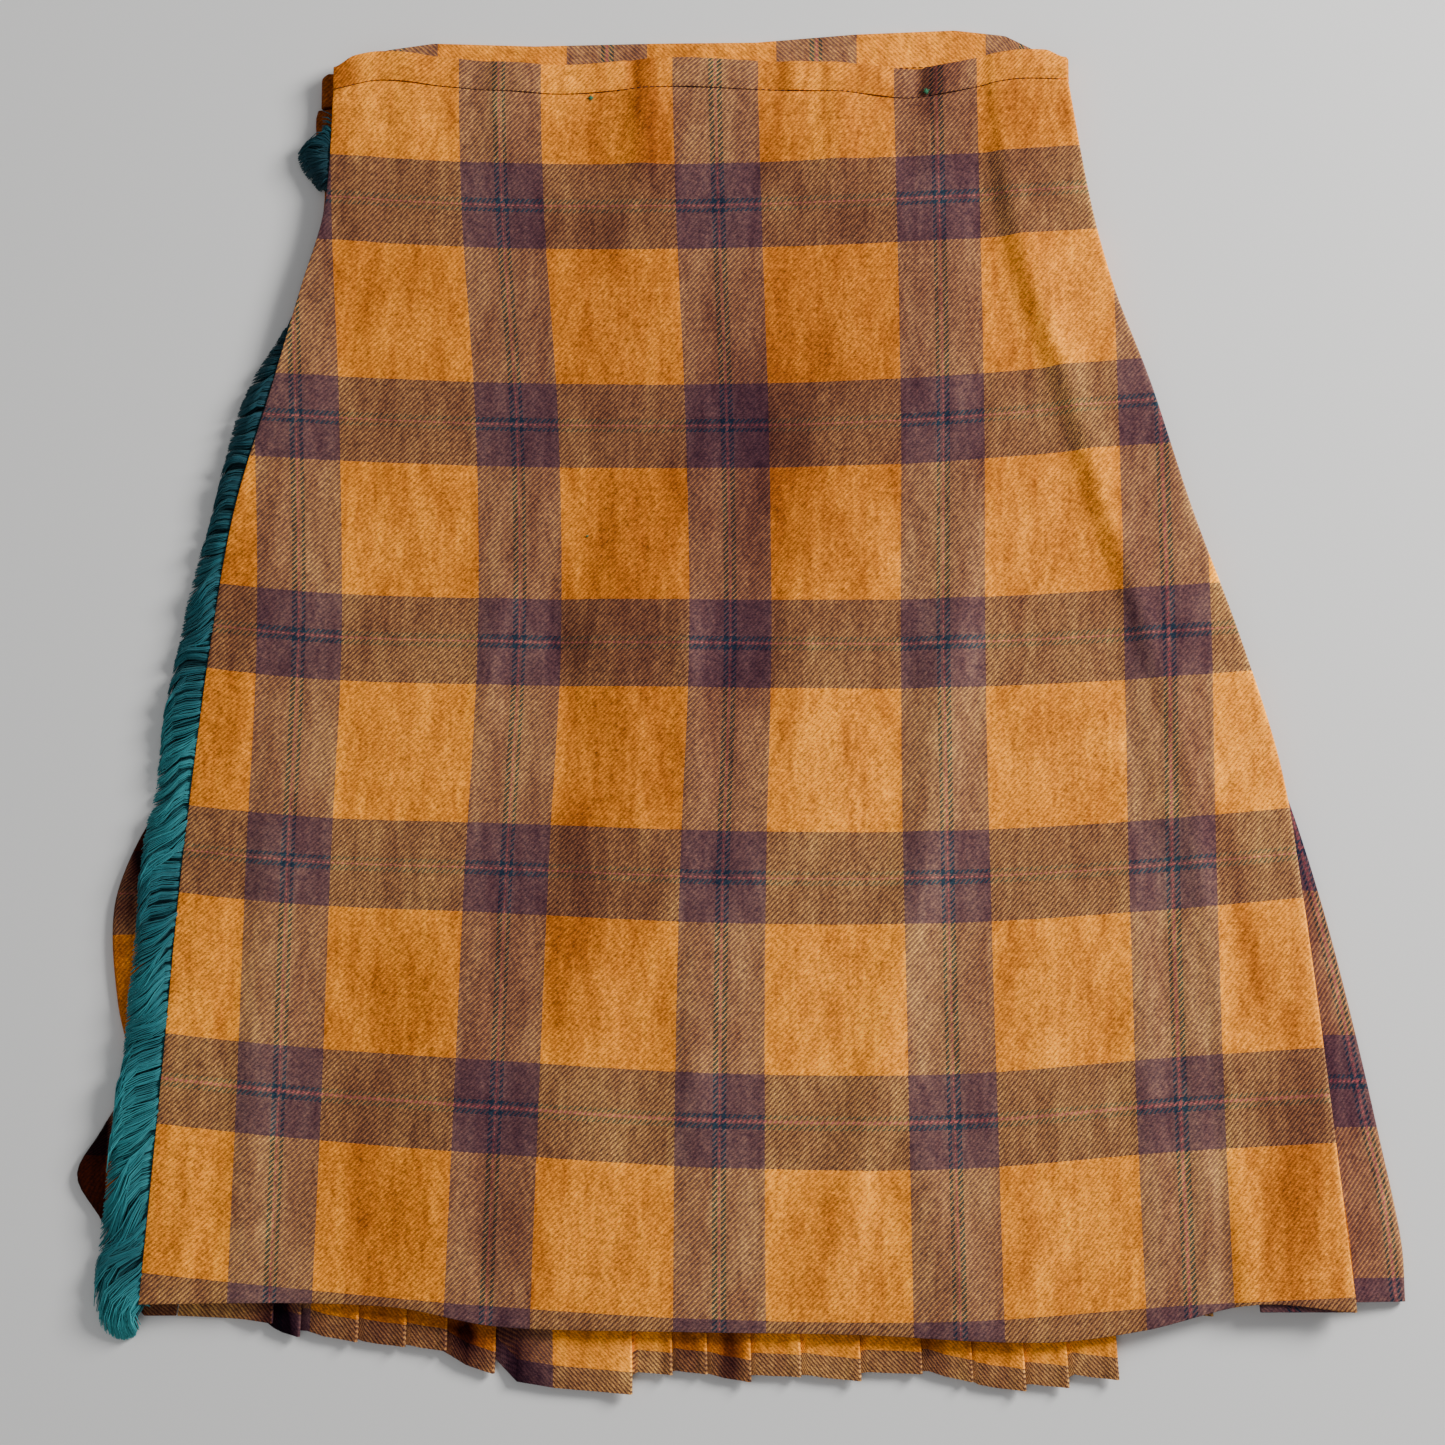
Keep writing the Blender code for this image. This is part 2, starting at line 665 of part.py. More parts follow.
def band_path():
    """The waistband's course as (across, height, seam, top), from the front round to inside."""
    path = []
    ends = apron_point(0.0, 1.0).x, apron_point(1.0, 1.0).x
    for share in PANEL_SHARES:
        seam = apron_point(share, 1.0)
        near_end = min(seam.x - ends[0], ends[1] - seam.x)
        short = BAND_ROUND_DROP * (1 - ease(near_end / BAND_ROUND))
        path.append((seam.x, seam.z, seam.y + SEAM, seam.y + SEAM + BAND_HEIGHT - short))
    front = path[-1]
    turn = (front[1] - BAND_FLOOR_UP) / 2
    right_top = BAND_BACK[-1].top
    for angle in (60, 30, 0, -30, -60, -90):
        bend = math.radians(angle)
        share = max(-angle / 90, 0)
        swing = turn * BAND_ROLL_SHARE + BAND_ROLL_IN
        path.append((
            front[0] - BAND_ROLL_IN + swing * math.cos(bend),
            BAND_FLOOR_UP + turn * (1 + math.sin(bend)),
            mix(front[2], right_top - BAND_INSIDE_HEIGHT, share),
            mix(front[3], right_top, share),
        ))
    left = BAND_BACK[0].across + BAND_LEFT_IN
    for band in reversed(BAND_BACK[1:-1]):
        path.append((band.across, BAND_FLOOR_UP, back_seam(band.top), band.top))
    left_top = band_top(left)
    left_seam = back_seam(left_top)
    path.append((left, BAND_FLOOR_UP, left_seam, left_top))
    inner_turn = (BAND_UNDER_UP - BAND_FLOOR_UP) / 2
    for angle in (-45, 0, 45, 90):
        bend = math.radians(angle)
        share = (angle + 90) / 180
        path.append((
            left - inner_turn * math.cos(bend),
            BAND_FLOOR_UP + inner_turn * (1 + math.sin(bend)),
            mix(left_seam, UNDER_WAIST, share),
            mix(left_top, BAND_UNDER_TOP, share),
        ))
    for column in range(1, BAND_UNDER_COLUMNS):
        across = mix(left, BAND_UNDER_RIGHT, column / (BAND_UNDER_COLUMNS - 1))
        path.append((across, BAND_UNDER_UP, UNDER_WAIST, BAND_UNDER_TOP))
    return path


def waistband(made_of):
    """Narrow strip along the waist: over the front, round the right side, back and inside."""
    path = band_path()

    def point_at(column, row):
        across, height, seam, top = path[column]
        return Vector((across, mix(seam, top, row / (BAND_ROWS - 1)), height))

    return cloth("waistband", len(path), BAND_ROWS, point_at, BAND_WALL, made_of)


def brush_value(column, up):
    return curve_through([(brush.up, getattr(brush, column)) for brush in BRUSHES], up)


def ground_under(across, up):
    """Highest cloth beneath the fringe at a place: the rolled side, or the bare surface."""
    inside = across - roll_left(up)
    if inside < -SIDE_SPREAD:
        return 0.0
    side_top = FLOOR_UP + 2 * SIDE_TURN
    climbed = min(max(inside / side_climb(up), 0.0), 1.0)
    return mix(side_top, UNDER_UP, climbed) + WALL / 2


def roof_over(across, up):
    """Underside of the apron's edge where it covers the fringe, or open air."""
    if across < apron_left(up) - ROOF_SPREAD:
        return math.inf
    return EDGE_UP - WALL / 2 - LOCK_CLEAR


def apron_fringe(made_of):
    """Strip under the apron's left edge with a brush of locks, fused at their roots."""
    bottom, top = BRUSHES[0].up, BRUSHES[-1].up
    pitch = (top - bottom) / LOCKS
    stations = []
    for index in range(LOCKS):
        stations.append(bottom + pitch * index)
        stations.append(bottom + pitch * (index + LOCK_SHARE))
    stations.append(top)
    shape = bmesh.new()
    rings = []
    for up in stations:
        outer = apron_left(up) + brush_value("inset", up)
        corners = (
            (outer, STRIP_UP - STRIP_WALL / 2),
            (outer + STRIP_WIDTH, STRIP_UP - STRIP_WALL / 2),
            (outer + STRIP_WIDTH, STRIP_UP + STRIP_WALL / 2),
            (outer, STRIP_UP + STRIP_WALL / 2),
        )
        rings.append([shape.verts.new((x, up, z)) for x, z in corners])
    shape.faces.new(rings[0])
    shape.faces.new(reversed(rings[-1]))
    roots = []
    for index in range(len(rings) - 1):
        for side in range(4):
            near, far = rings[index], rings[index + 1]
            nearby = (side + 1) % 4
            face = shape.faces.new((near[side], far[side], far[nearby], near[nearby]))
            if side == 3 and index % 2 == 0:
                roots.append(face)
    for index, root in enumerate(roots):
        grow_lock(shape, root, index)
    bmesh.ops.recalc_face_normals(shape, faces=shape.faces)
    for vertex in shape.verts:
        vertex.co = placed(vertex.co)
    mesh = bpy.data.meshes.new("apron_fringe")
    shape.to_mesh(mesh)
    shape.free()
    return add_object("apron_fringe", mesh, made_of)


def grow_lock(shape, root, index):
    """Pull a lock out of a root face: full at its middle, drawn to a point at its tip."""
    centre = root.calc_center_median()
    up = centre.y
    reach = brush_value("inset", up) + brush_value("reach", up)
    drop = brush_value("drop", up)
    lift = LOCK_LIFTS[index % len(LOCK_LIFTS)]
    wave = math.sin(index * LOCK_WAVE_TURN) * LOCK_WAVE
    length = reach * (1 + LOCK_UNEVEN * math.sin(index * LOCK_UNEVEN_TURN))
    tip = Vector((centre.x - length, up - drop + wave, 0))
    ground = max(ground_under(tip.x, tip.y), ground_under(tip.x + LOCK_STEP, tip.y))
    tip.z = min(ground + LOCK_TIP_UP + max(lift, 0) / 2, roof_over(tip.x, tip.y))
    middle = centre.lerp(tip, LOCK_MIDDLE)
    middle.y = mix(centre.y, tip.y, LOCK_MIDDLE * LOCK_SWEEP)
    covered = roof_over(middle.x, middle.y) < math.inf
    half = (TUCKED_LOCK if covered else LOCK_FULL) / 2
    lowest = ground_under(middle.x, middle.y) + LOCK_CLEAR + half
    highest = roof_over(middle.x, middle.y) - half
    middle.z = min(max(mix(centre.z, tip.z, LOCK_SINK) + lift, lowest), highest)
    grown = bmesh.ops.extrude_discrete_faces(shape, faces=[root])["faces"][0]
    for corner in grown.verts:
        across = 1 if corner.co.y > centre.y else -1
        high = 1 if corner.co.z > centre.z else -1
        corner.co = middle + Vector((0, half * across * LOCK_FLATNESS, half * high))
    end = bmesh.ops.extrude_discrete_faces(shape, faces=[grown])["faces"][0]
    bmesh.ops.pointmerge(shape, verts=list(end.verts), merge_co=tip)


def clear_scene():
    for piece in list(bpy.data.objects):
        bpy.data.objects.remove(piece, do_unlink=True)


def main():
    clear_scene()
    bpy.context.scene.collection.children.link(bpy.data.collections.new(GARMENT))
    check = material("checked_twill", CLOTH_COLOUR, CLOTH_ROUGHNESS)
    inside = material("twill_reverse", SHADE_COLOUR, CLOTH_ROUGHNESS)
    side = material("side_twill", CLOTH_COLOUR, CLOTH_ROUGHNESS)
    under = material("under_twill", CLOTH_COLOUR, CLOTH_ROUGHNESS)
    band = material("band_twill", BAND_COLOUR, CLOTH_ROUGHNESS)
    brush = material("fringe_wool", FRINGE_COLOUR, FRINGE_ROUGHNESS)
    front_apron(check)
    side_pleat(side)
    under_apron(under)
    pleated_back(inside)
    waistband(band)
    apron_fringe(brush)


main()
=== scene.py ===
import math
import bpy
import numpy as np
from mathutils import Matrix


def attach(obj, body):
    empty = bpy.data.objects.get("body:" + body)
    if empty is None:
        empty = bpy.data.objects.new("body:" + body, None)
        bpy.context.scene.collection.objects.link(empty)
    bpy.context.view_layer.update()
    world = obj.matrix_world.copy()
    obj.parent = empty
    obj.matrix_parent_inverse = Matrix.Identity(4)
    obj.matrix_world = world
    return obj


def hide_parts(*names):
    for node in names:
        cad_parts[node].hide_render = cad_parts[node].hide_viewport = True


# A checked wool kilt, laid flat with its front apron up: +X right, +Y to the waist, metres.
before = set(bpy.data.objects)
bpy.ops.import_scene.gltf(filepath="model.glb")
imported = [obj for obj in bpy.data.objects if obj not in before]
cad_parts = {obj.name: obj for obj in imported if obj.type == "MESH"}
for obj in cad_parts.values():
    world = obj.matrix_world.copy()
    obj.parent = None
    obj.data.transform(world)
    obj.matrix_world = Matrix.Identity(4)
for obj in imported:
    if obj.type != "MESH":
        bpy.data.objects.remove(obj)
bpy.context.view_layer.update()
bpy.ops.object.select_all(action="DESELECT")
print("kilt: frame loaded")

# Sizes below are measured from the middle of the apron; this moves them to the frame's origin.
middle = np.array([0.0087, 0.0156, 0.0])

cloth = dict(
    wall=0.0010,
    foldAir=0.00035,
    openLayer=0.0018,
    seam=0.0003,
    thread=0.00055,
)
layer = cloth["wall"] + cloth["foldAir"]
floorUp = cloth["wall"] / 2


# Small helpers for shapes
def mix(start, end, share):
    return start + (end - start) * share


def ease(share):
    share = np.clip(share, 0.0, 1.0)
    return share * share * (3 - 2 * share)


def curveThrough(knots, place):
    # smooth curve through (place, value) knots, level past both ends
    at = np.array([knot[0] for knot in knots], float)
    value = np.array([knot[1] for knot in knots], float)
    place = np.asarray(place, float)
    before = np.clip(np.arange(len(at)) - 1, 0, None)
    after = np.clip(np.arange(len(at)) + 1, None, len(at) - 1)
    slope = (value[after] - value[before]) / (at[after] - at[before])
    i = np.clip(np.searchsorted(at, place, side="right") - 1, 0, len(at) - 2)
    run = at[i + 1] - at[i]
    t = np.clip((place - at[i]) / run, 0.0, 1.0)
    return (
        value[i] * (1 + 2 * t) * (1 - t) ** 2
        + slope[i] * run * t * (1 - t) ** 2
        + value[i + 1] * t * t * (3 - 2 * t)
        - slope[i + 1] * run * t * t * (1 - t)
    )


rippleWaves = (  # waves across and up in radians a metre, how much each is turned, its share
    (143, 23, 1.0, 1.0), (87, -37, 2.1, 1.0), (311, 29, 3.7, 0.55), (41, 63, 1.3, 1.0),
)
rippleSpan = 3.5


def ripple(across, up, turn):
    # slow unevenness from about -1 to 1, the same on every run
    bent = across + 0.006 * np.sin(up * 31 + turn) + 0.004 * np.sin(up * 77 + across * 40)
    total = 0.0
    for alongX, alongY, turned, share in rippleWaves:
        total = total + share * np.sin(bent * alongX + up * alongY + turn * turned)
    return total / rippleSpan


def softLines(lines, across, up):
    # soft troughs, ridges or shades along bent lines, fading out to both ends and to the sides
    total = np.zeros_like(across)
    for points, strength, spread in lines:
        points = np.array(points, float)
        runs = np.diff(points, axis=0)
        lengths = np.hypot(runs[:, 0], runs[:, 1])
        nearest, along, passed = np.full_like(across, 9.0), np.zeros_like(across), 0.0
        for begin, run, length in zip(points, runs, lengths):
            share = ((across - begin[0]) * run[0] + (up - begin[1]) * run[1]) / length ** 2
            share = np.clip(share, 0.0, 1.0)
            off = np.hypot(across - begin[0] - run[0] * share, up - begin[1] - run[1] * share)
            along = np.where(off < nearest, (passed + share * length) / lengths.sum(), along)
            nearest = np.minimum(nearest, off)
            passed += length
        fade = 0.35 + 0.65 * ease(np.minimum(along, 1 - along) * 4)
        total += strength * fade * np.exp(-((nearest / spread) ** 2))
    return total


def sheetPiece(name, across, up, height, clothAcross, clothUp, wall, shade=None):
    # a grid of cloth laid at the given places, with the cloth's own measure as its UV map
    rows, columns = across.shape
    bpy.ops.mesh.primitive_grid_add(x_subdivisions=columns - 1, y_subdivisions=rows - 1, size=1.0)
    piece = bpy.context.object
    piece.name = name
    piece.data.name = name
    mesh = piece.data
    flat = np.empty(len(mesh.vertices) * 3)
    mesh.vertices.foreach_get("co", flat)
    flat = flat.reshape(-1, 3)
    column = np.rint((flat[:, 0] + 0.5) * (columns - 1)).astype(int)
    row = np.rint((flat[:, 1] + 0.5) * (rows - 1)).astype(int)
    places = np.stack([across[row, column], up[row, column], height[row, column]], 1) - middle
    mesh.vertices.foreach_set("co", places.ravel())
    while mesh.uv_layers:
        mesh.uv_layers.remove(mesh.uv_layers[0])
    measure = mesh.uv_layers.new(name="clothMeasure")
    corner = np.empty(len(mesh.loops), int)
    mesh.loops.foreach_get("vertex_index", corner)
    uv = np.stack([clothAcross[row, column], clothUp[row, column]], 1)[corner]
    measure.data.foreach_set("uv", uv.ravel())
    # painted shade and shine for the folds and creases, which darken or lighten the cloth's colour
    paintedShade = mesh.attributes.new("clothShade", "FLOAT", "POINT")
    paintedShade.data.foreach_set("value", np.zeros(len(row)) if shade is None else shade[row, column])
    mesh.update()
    bpy.ops.object.shade_smooth()
    return thickened(piece, wall)


def thickened(piece, wall):
    bpy.ops.object.select_all(action="DESELECT")
    piece.select_set(True)
    bpy.context.view_layer.objects.active = piece
    solid = piece.modifiers.new("wall", "SOLIDIFY")
    solid.thickness = wall
    solid.offset = 0
    solid.use_even_offset = True
    bpy.ops.object.modifier_apply(modifier=solid.name)
    rim = piece.modifiers.new("rim", "BEVEL")
    rim.width = wall * 0.3
    rim.segments = 2
    rim.limit_method = "ANGLE"
    rim.angle_limit = math.radians(55)
    bpy.ops.object.modifier_apply(modifier=rim.name)
    piece.select_set(False)
    return piece


def worn(piece, material, node):
    piece.data.materials.clear()
    piece.data.materials.append(material)
    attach(piece, "root")
    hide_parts(node)


def runLength(across, up, height):
    # distance along each row, from its first column
    step = np.sqrt(np.diff(across, axis=1) ** 2 + np.diff(up, axis=1) ** 2 + np.diff(height, axis=1) ** 2)
    return np.concatenate([np.zeros((across.shape[0], 1)), np.cumsum(step, axis=1)], axis=1)


# Small helpers for shader nodes
def newGroup(name, inputs, outputs):
    group = bpy.data.node_groups.new(name, "ShaderNodeTree")
    for label, kind, value in inputs:
        socket = group.interface.new_socket(name=label, in_out="INPUT", socket_type=kind)
        if value is not None:
            socket.default_value = value
    for label, kind in outputs:
        group.interface.new_socket(name=label, in_out="OUTPUT", socket_type=kind)
    return group, group.nodes.new("NodeGroupInput").outputs, group.nodes.new("NodeGroupOutput").inputs


def plug(tree, socket, value):
    if isinstance(value, bpy.types.NodeSocket):
        tree.links.new(value, socket)
    else:
        socket.default_value = value


def sums(tree, operation, *values):
    node = tree.nodes.new("ShaderNodeMath")
    node.operation = operation
    for socket, value in zip(node.inputs, values):
        plug(tree, socket, value)
    return node.outputs[0]


def blend(tree, factor, first, second, kind="MIX"):
    node = tree.nodes.new("ShaderNodeMix")
    node.data_type = "RGBA"
    node.blend_type = kind
    plug(tree, node.inputs[0], factor)
    plug(tree, node.inputs[6], first)
    plug(tree, node.inputs[7], second)
    return node.outputs[2]


def greyOf(tree, value):
    node = tree.nodes.new("ShaderNodeCombineColor")
    for socket in node.inputs:
        plug(tree, socket, value)
    return node.outputs[0]


def noiseOf(tree, place, scale, detail=3.0, rough=0.55):
    node = tree.nodes.new("ShaderNodeTexNoise")
    plug(tree, node.inputs["Vector"], place)
    node.inputs["Scale"].default_value = scale
    node.inputs["Detail"].default_value = detail
    node.inputs["Roughness"].default_value = rough
    return node.outputs["Fac"]


def stretched(tree, place, scale, turn=0.0):
    node = tree.nodes.new("ShaderNodeMapping")
    plug(tree, node.inputs["Vector"], place)
    node.inputs["Scale"].default_value = scale
    node.inputs["Rotation"].default_value = (0, 0, turn)
    return node.outputs["Vector"]


stripeShares = dict(edge=0.155, gap=0.055, centre=0.018)    # reach of the fine lines, as shares of the half band


# One thread's colour, from its distance to the nearest brown band's middle
def buildStripes():
    group, given, made = newGroup(
        "stripesOfTheCheck",
        [
            ("Place", "NodeSocketFloat", 0.0),
            ("Sett", "NodeSocketFloat", 0.1),
            ("Half Band", "NodeSocketFloat", 0.019),
            ("Ground", "NodeSocketColor", None),
            ("Band", "NodeSocketColor", None),
            ("Edge Line", "NodeSocketColor", None),
            ("Centre Line", "NodeSocketColor", None),
        ],
        [("Color", "NodeSocketColor")],
    )
    off = sums(group, "PINGPONG", given["Place"], sums(group, "DIVIDE", given["Sett"], 2.0))
    inBand = sums(group, "LESS_THAN", off, given["Half Band"])
    inEdge, inGap, inCentre = [
        sums(group, "LESS_THAN", off, sums(group, "MULTIPLY", given["Half Band"], stripeShares[line]))
        for line in ("edge", "gap", "centre")
    ]
    colour = blend(group, inBand, given["Ground"], given["Band"])
    colour = blend(group, sums(group, "SUBTRACT", inEdge, inGap), colour, given["Edge Line"])
    plug(group, made["Color"], blend(group, inCentre, colour, given["Centre Line"]))
    return group


weaveDetail = dict(
    repeat=4.0,                # threads in one repeat of the twill
    drift=330.0,               # this and the next nine: scales and turns of the noises
    hairs=(700, 1500, 1),
    hairsTurn=0.6,
    nap=420.0,
    # broad noises: partly the cloth's uneven tone, partly painted shade of small wrinkles as streaks up the cloth
    # and clouds, then fine slanted ripples of painted light and shade
    streakToneAndShade=(95, 30, 30),
    streakToneAndShadeTurn=0.10,
    cloud=(38, 15, 30),
    cloudTurn=-0.06,
    rippleLightAndShade=(230, 55, 60),
    rippleLightAndShadeTurn=0.5,
    roundLight=(0.34, 0.72),   # how much a thread's back gains, and the light beside it
    grooveLight=(1.10, 0.725),  # how much a twill line gains, and the light in the groove between two
    darkest=0.035,
    finePowers=(1.0, 1.0, 0.6),     # how fast red, green and blue follow the light on the threads
    broadPowers=(1.0, 1.25, 0.85),  # and in the painted shade and broad noises, where the wool's colour turns redder as it darkens
    threadHeight=0.5,
    grooveHeight=0.9,
    hairHeight=0.5,
    napHeight=0.7,
    roughness=(-0.14, 0.93),
)


# Two-over-two twill, thread by thread, on the cloth's own measure
def buildTwill(stripes):
    detail = weaveDetail
    group, given, made = newGroup(
        "checkedTwill",
        [
            ("Cloth", "NodeSocketVector", None),
            ("Place", "NodeSocketVector", None),
            ("Sett", "NodeSocketFloat", 0.1),
            ("Half Band", "NodeSocketFloat", 0.0193),
            ("Thread", "NodeSocketFloat", 0.00055),
            ("Ground", "NodeSocketColor", None),
            ("Ground Crossed", "NodeSocketColor", None),
            ("Warp Band", "NodeSocketColor", None),
            ("Weft Band", "NodeSocketColor", None),
            ("Band Crossed", "NodeSocketColor", None),
            ("Warp Edge", "NodeSocketColor", None),
            ("Weft Edge", "NodeSocketColor", None),
            ("Edge Crossed", "NodeSocketColor", None),
            ("Centre Line", "NodeSocketColor", None),
            ("Cover", "NodeSocketFloat", 0.5),
            ("Uneven", "NodeSocketFloat", 0.1),
            ("Wander", "NodeSocketFloat", 0.5),
            ("Nap", "NodeSocketFloat", 0.3),
            ("Mottle", "NodeSocketFloat", 0.3),
            ("Shade", "NodeSocketFloat", 0.0),
        ],
        [("Color", "NodeSocketColor"), ("Height", "NodeSocketFloat"), ("Roughness", "NodeSocketFloat")],
    )
    apart = group.nodes.new("ShaderNodeSeparateXYZ")
    plug(group, apart.inputs[0], given["Cloth"])
    # threads wander a little to both sides
    astray = group.nodes.new("ShaderNodeSeparateXYZ")
    drift = group.nodes.new("ShaderNodeTexNoise")
    plug(group, drift.inputs["Vector"], given["Cloth"])
    drift.inputs["Scale"].default_value = detail["drift"]
    drift.inputs["Detail"].default_value = 2.0
    plug(group, astray.inputs[0], drift.outputs["Color"])

    def strayed(place, away):
        swing = sums(group, "MULTIPLY", sums(group, "SUBTRACT", away, 0.5), given["Wander"])
        return sums(group, "ADD", sums(group, "DIVIDE", place, given["Thread"]), swing)

    warpPlace = strayed(apart.outputs[0], astray.outputs[0])
    weftPlace = strayed(apart.outputs[1], astray.outputs[1])
    warp, weft = sums(group, "FLOOR", warpPlace), sums(group, "FLOOR", weftPlace)

    def threadPlace(thread):
        return sums(group, "MULTIPLY", sums(group, "ADD", thread, 0.5), given["Thread"])

    def within(thread, share):
        off = sums(group, "PINGPONG", threadPlace(thread), sums(group, "DIVIDE", given["Sett"], 2.0))
        return sums(group, "LESS_THAN", off, sums(group, "MULTIPLY", given["Half Band"], share))

    warpInBand, weftInBand = within(warp, 1.0), within(weft, 1.0)
    # the brown warp covers a little more than half where it crosses gold
    step = sums(group, "FLOORED_MODULO", sums(group, "SUBTRACT", warpPlace, weft), detail["repeat"])
    onlyWarp = sums(group, "MULTIPLY", warpInBand, sums(group, "SUBTRACT", 1.0, weftInBand))
    covers = sums(group, "MULTIPLY_ADD", onlyWarp, given["Cover"], detail["repeat"] / 2)
    over = sums(group, "LESS_THAN", step, covers)

    def threadColour(thread, band, edge, crossed, seed):
        node = group.nodes.new("ShaderNodeGroup")
        node.node_tree = stripes
        plug(group, node.inputs["Place"], threadPlace(thread))
        for label in ("Sett", "Half Band", "Centre Line"):
            plug(group, node.inputs[label], given[label])
        plug(group, node.inputs["Ground"], blend(group, crossed, given["Ground"], given["Ground Crossed"]))
        plug(group, node.inputs["Band"], blend(group, crossed, given[band], given["Band Crossed"]))
        plug(group, node.inputs["Edge Line"], blend(group, crossed, given[edge], given["Edge Crossed"]))
        chance = group.nodes.new("ShaderNodeTexWhiteNoise")
        chance.noise_dimensions = "1D"
        plug(group, chance.inputs["W"], sums(group, "ADD", thread, seed))
        offMiddle = sums(group, "SUBTRACT", chance.outputs["Value"], 0.5)
        tone = sums(group, "MULTIPLY_ADD", offMiddle, given["Uneven"], 1.0)
        return blend(group, 1.0, node.outputs["Color"], greyOf(group, tone), "MULTIPLY")

    def roundness(place):
        off = sums(group, "SUBTRACT", sums(group, "FRACT", place), 0.5)
        return sums(group, "SUBTRACT", 1.0, sums(group, "MULTIPLY", sums(group, "MULTIPLY", off, off), 4.0))

    warpColour = threadColour(warp, "Warp Band", "Warp Edge", weftInBand, 0.37)
    weftColour = threadColour(weft, "Weft Band", "Weft Edge", warpInBand, 811.61)
    colour = blend(group, over, weftColour, warpColour)
    warpRound, weftRound = roundness(warpPlace), roundness(weftPlace)
    bump = sums(group, "ADD", sums(group, "MULTIPLY", warpRound, over),
                sums(group, "MULTIPLY", weftRound, sums(group, "SUBTRACT", 1.0, over)))
    # the groove between two twill lines
    between = sums(group, "SUBTRACT", warpPlace, weftPlace)
    slant = sums(group, "FRACT", sums(group, "DIVIDE", between, detail["repeat"]))
    groove = sums(group, "PINGPONG", slant, 0.5)
    hairs = noiseOf(group, stretched(group, given["Cloth"], detail["hairs"], detail["hairsTurn"]), 1.0, 3.0, 0.7)
    nap = noiseOf(group, given["Place"], detail["nap"], 4.0, 0.7)
    streakToneAndShade = noiseOf(group, stretched(group, given["Place"], detail["streakToneAndShade"], detail["streakToneAndShadeTurn"]), 1.0, 4.0, 0.6)
    cloud = noiseOf(group, stretched(group, given["Place"], detail["cloud"], detail["cloudTurn"]), 1.0, 3.0, 0.55)
    rippleLightAndShadePlace = stretched(group, given["Place"], detail["rippleLightAndShade"], detail["rippleLightAndShadeTurn"])
    rippleLightAndShade = noiseOf(group, rippleLightAndShadePlace, 1.0, 2.0, 0.5)

    def swung(light, patterns, strength):
        for pattern in patterns:
            offMiddle = sums(group, "SUBTRACT", pattern, 0.5)
            light = sums(group, "MULTIPLY", light, sums(group, "MULTIPLY_ADD", offMiddle, given[strength], 1.0))
        return light

    fine = sums(group, "MULTIPLY_ADD", bump, *detail["roundLight"])
    fine = sums(group, "MULTIPLY", fine, sums(group, "MULTIPLY_ADD", groove, *detail["grooveLight"]))
    fine = swung(fine, (hairs, nap), "Nap")
    # painted shade and shine of the folds, from each piece's clothShade, times the broad noises
    shaded = sums(group, "MAXIMUM", sums(group, "ADD", given["Shade"], 1.0), detail["darkest"])
    broad = swung(shaded, (streakToneAndShade, cloud, rippleLightAndShade), "Mottle")
    deep = group.nodes.new("ShaderNodeCombineColor")
    for socket, finePower, broadPower in zip(deep.inputs, detail["finePowers"], detail["broadPowers"]):
        nearLight = sums(group, "POWER", fine, finePower)
        plug(group, socket, sums(group, "MULTIPLY", nearLight, sums(group, "POWER", broad, broadPower)))
    plug(group, made["Color"], blend(group, 1.0, colour, deep.outputs[0], "MULTIPLY"))
    height = 0.0
    for pattern, key in (
        (bump, "threadHeight"), (groove, "grooveHeight"), (hairs, "hairHeight"), (nap, "napHeight"),
    ):
        height = sums(group, "ADD", height, sums(group, "MULTIPLY", pattern, detail[key]))
    plug(group, made["Height"], height)
    plug(group, made["Roughness"], sums(group, "MULTIPLY_ADD", hairs, *detail["roughness"]))
    return group


twillLook = dict(
    # colours of the threads: gold, gold where it crosses brown, the bands and their fine lines
    ground=(0.850, 0.270, 0.019, 1),
    groundCrossed=(0.510, 0.228, 0.070, 1),
    warpBand=(0.235, 0.104, 0.060, 1),
    weftBand=(0.130, 0.053, 0.031, 1),
    bandCrossed=(0.142, 0.066, 0.063, 1),
    warpEdge=(0.062, 0.060, 0.046, 1),
    weftEdge=(0.066, 0.054, 0.036, 1),
    edgeCrossed=(0.022, 0.038, 0.056, 1),
    centreLine=(0.330, 0.086, 0.082, 1),
    halfBand=0.0193,
    sett=0.100,
    cover=0.55,           # of a thread more, where brown warp crosses gold
    uneven=0.16,
    wander=0.9,           # how far threads stray from their line
    nap=2.15,
    mottle=0.95,
    bump=0.00026,
    relief=0.8,
    sheen=0.015,
    sheenTint=(1.0, 0.80, 0.55, 1),
    shine=0.04,
)


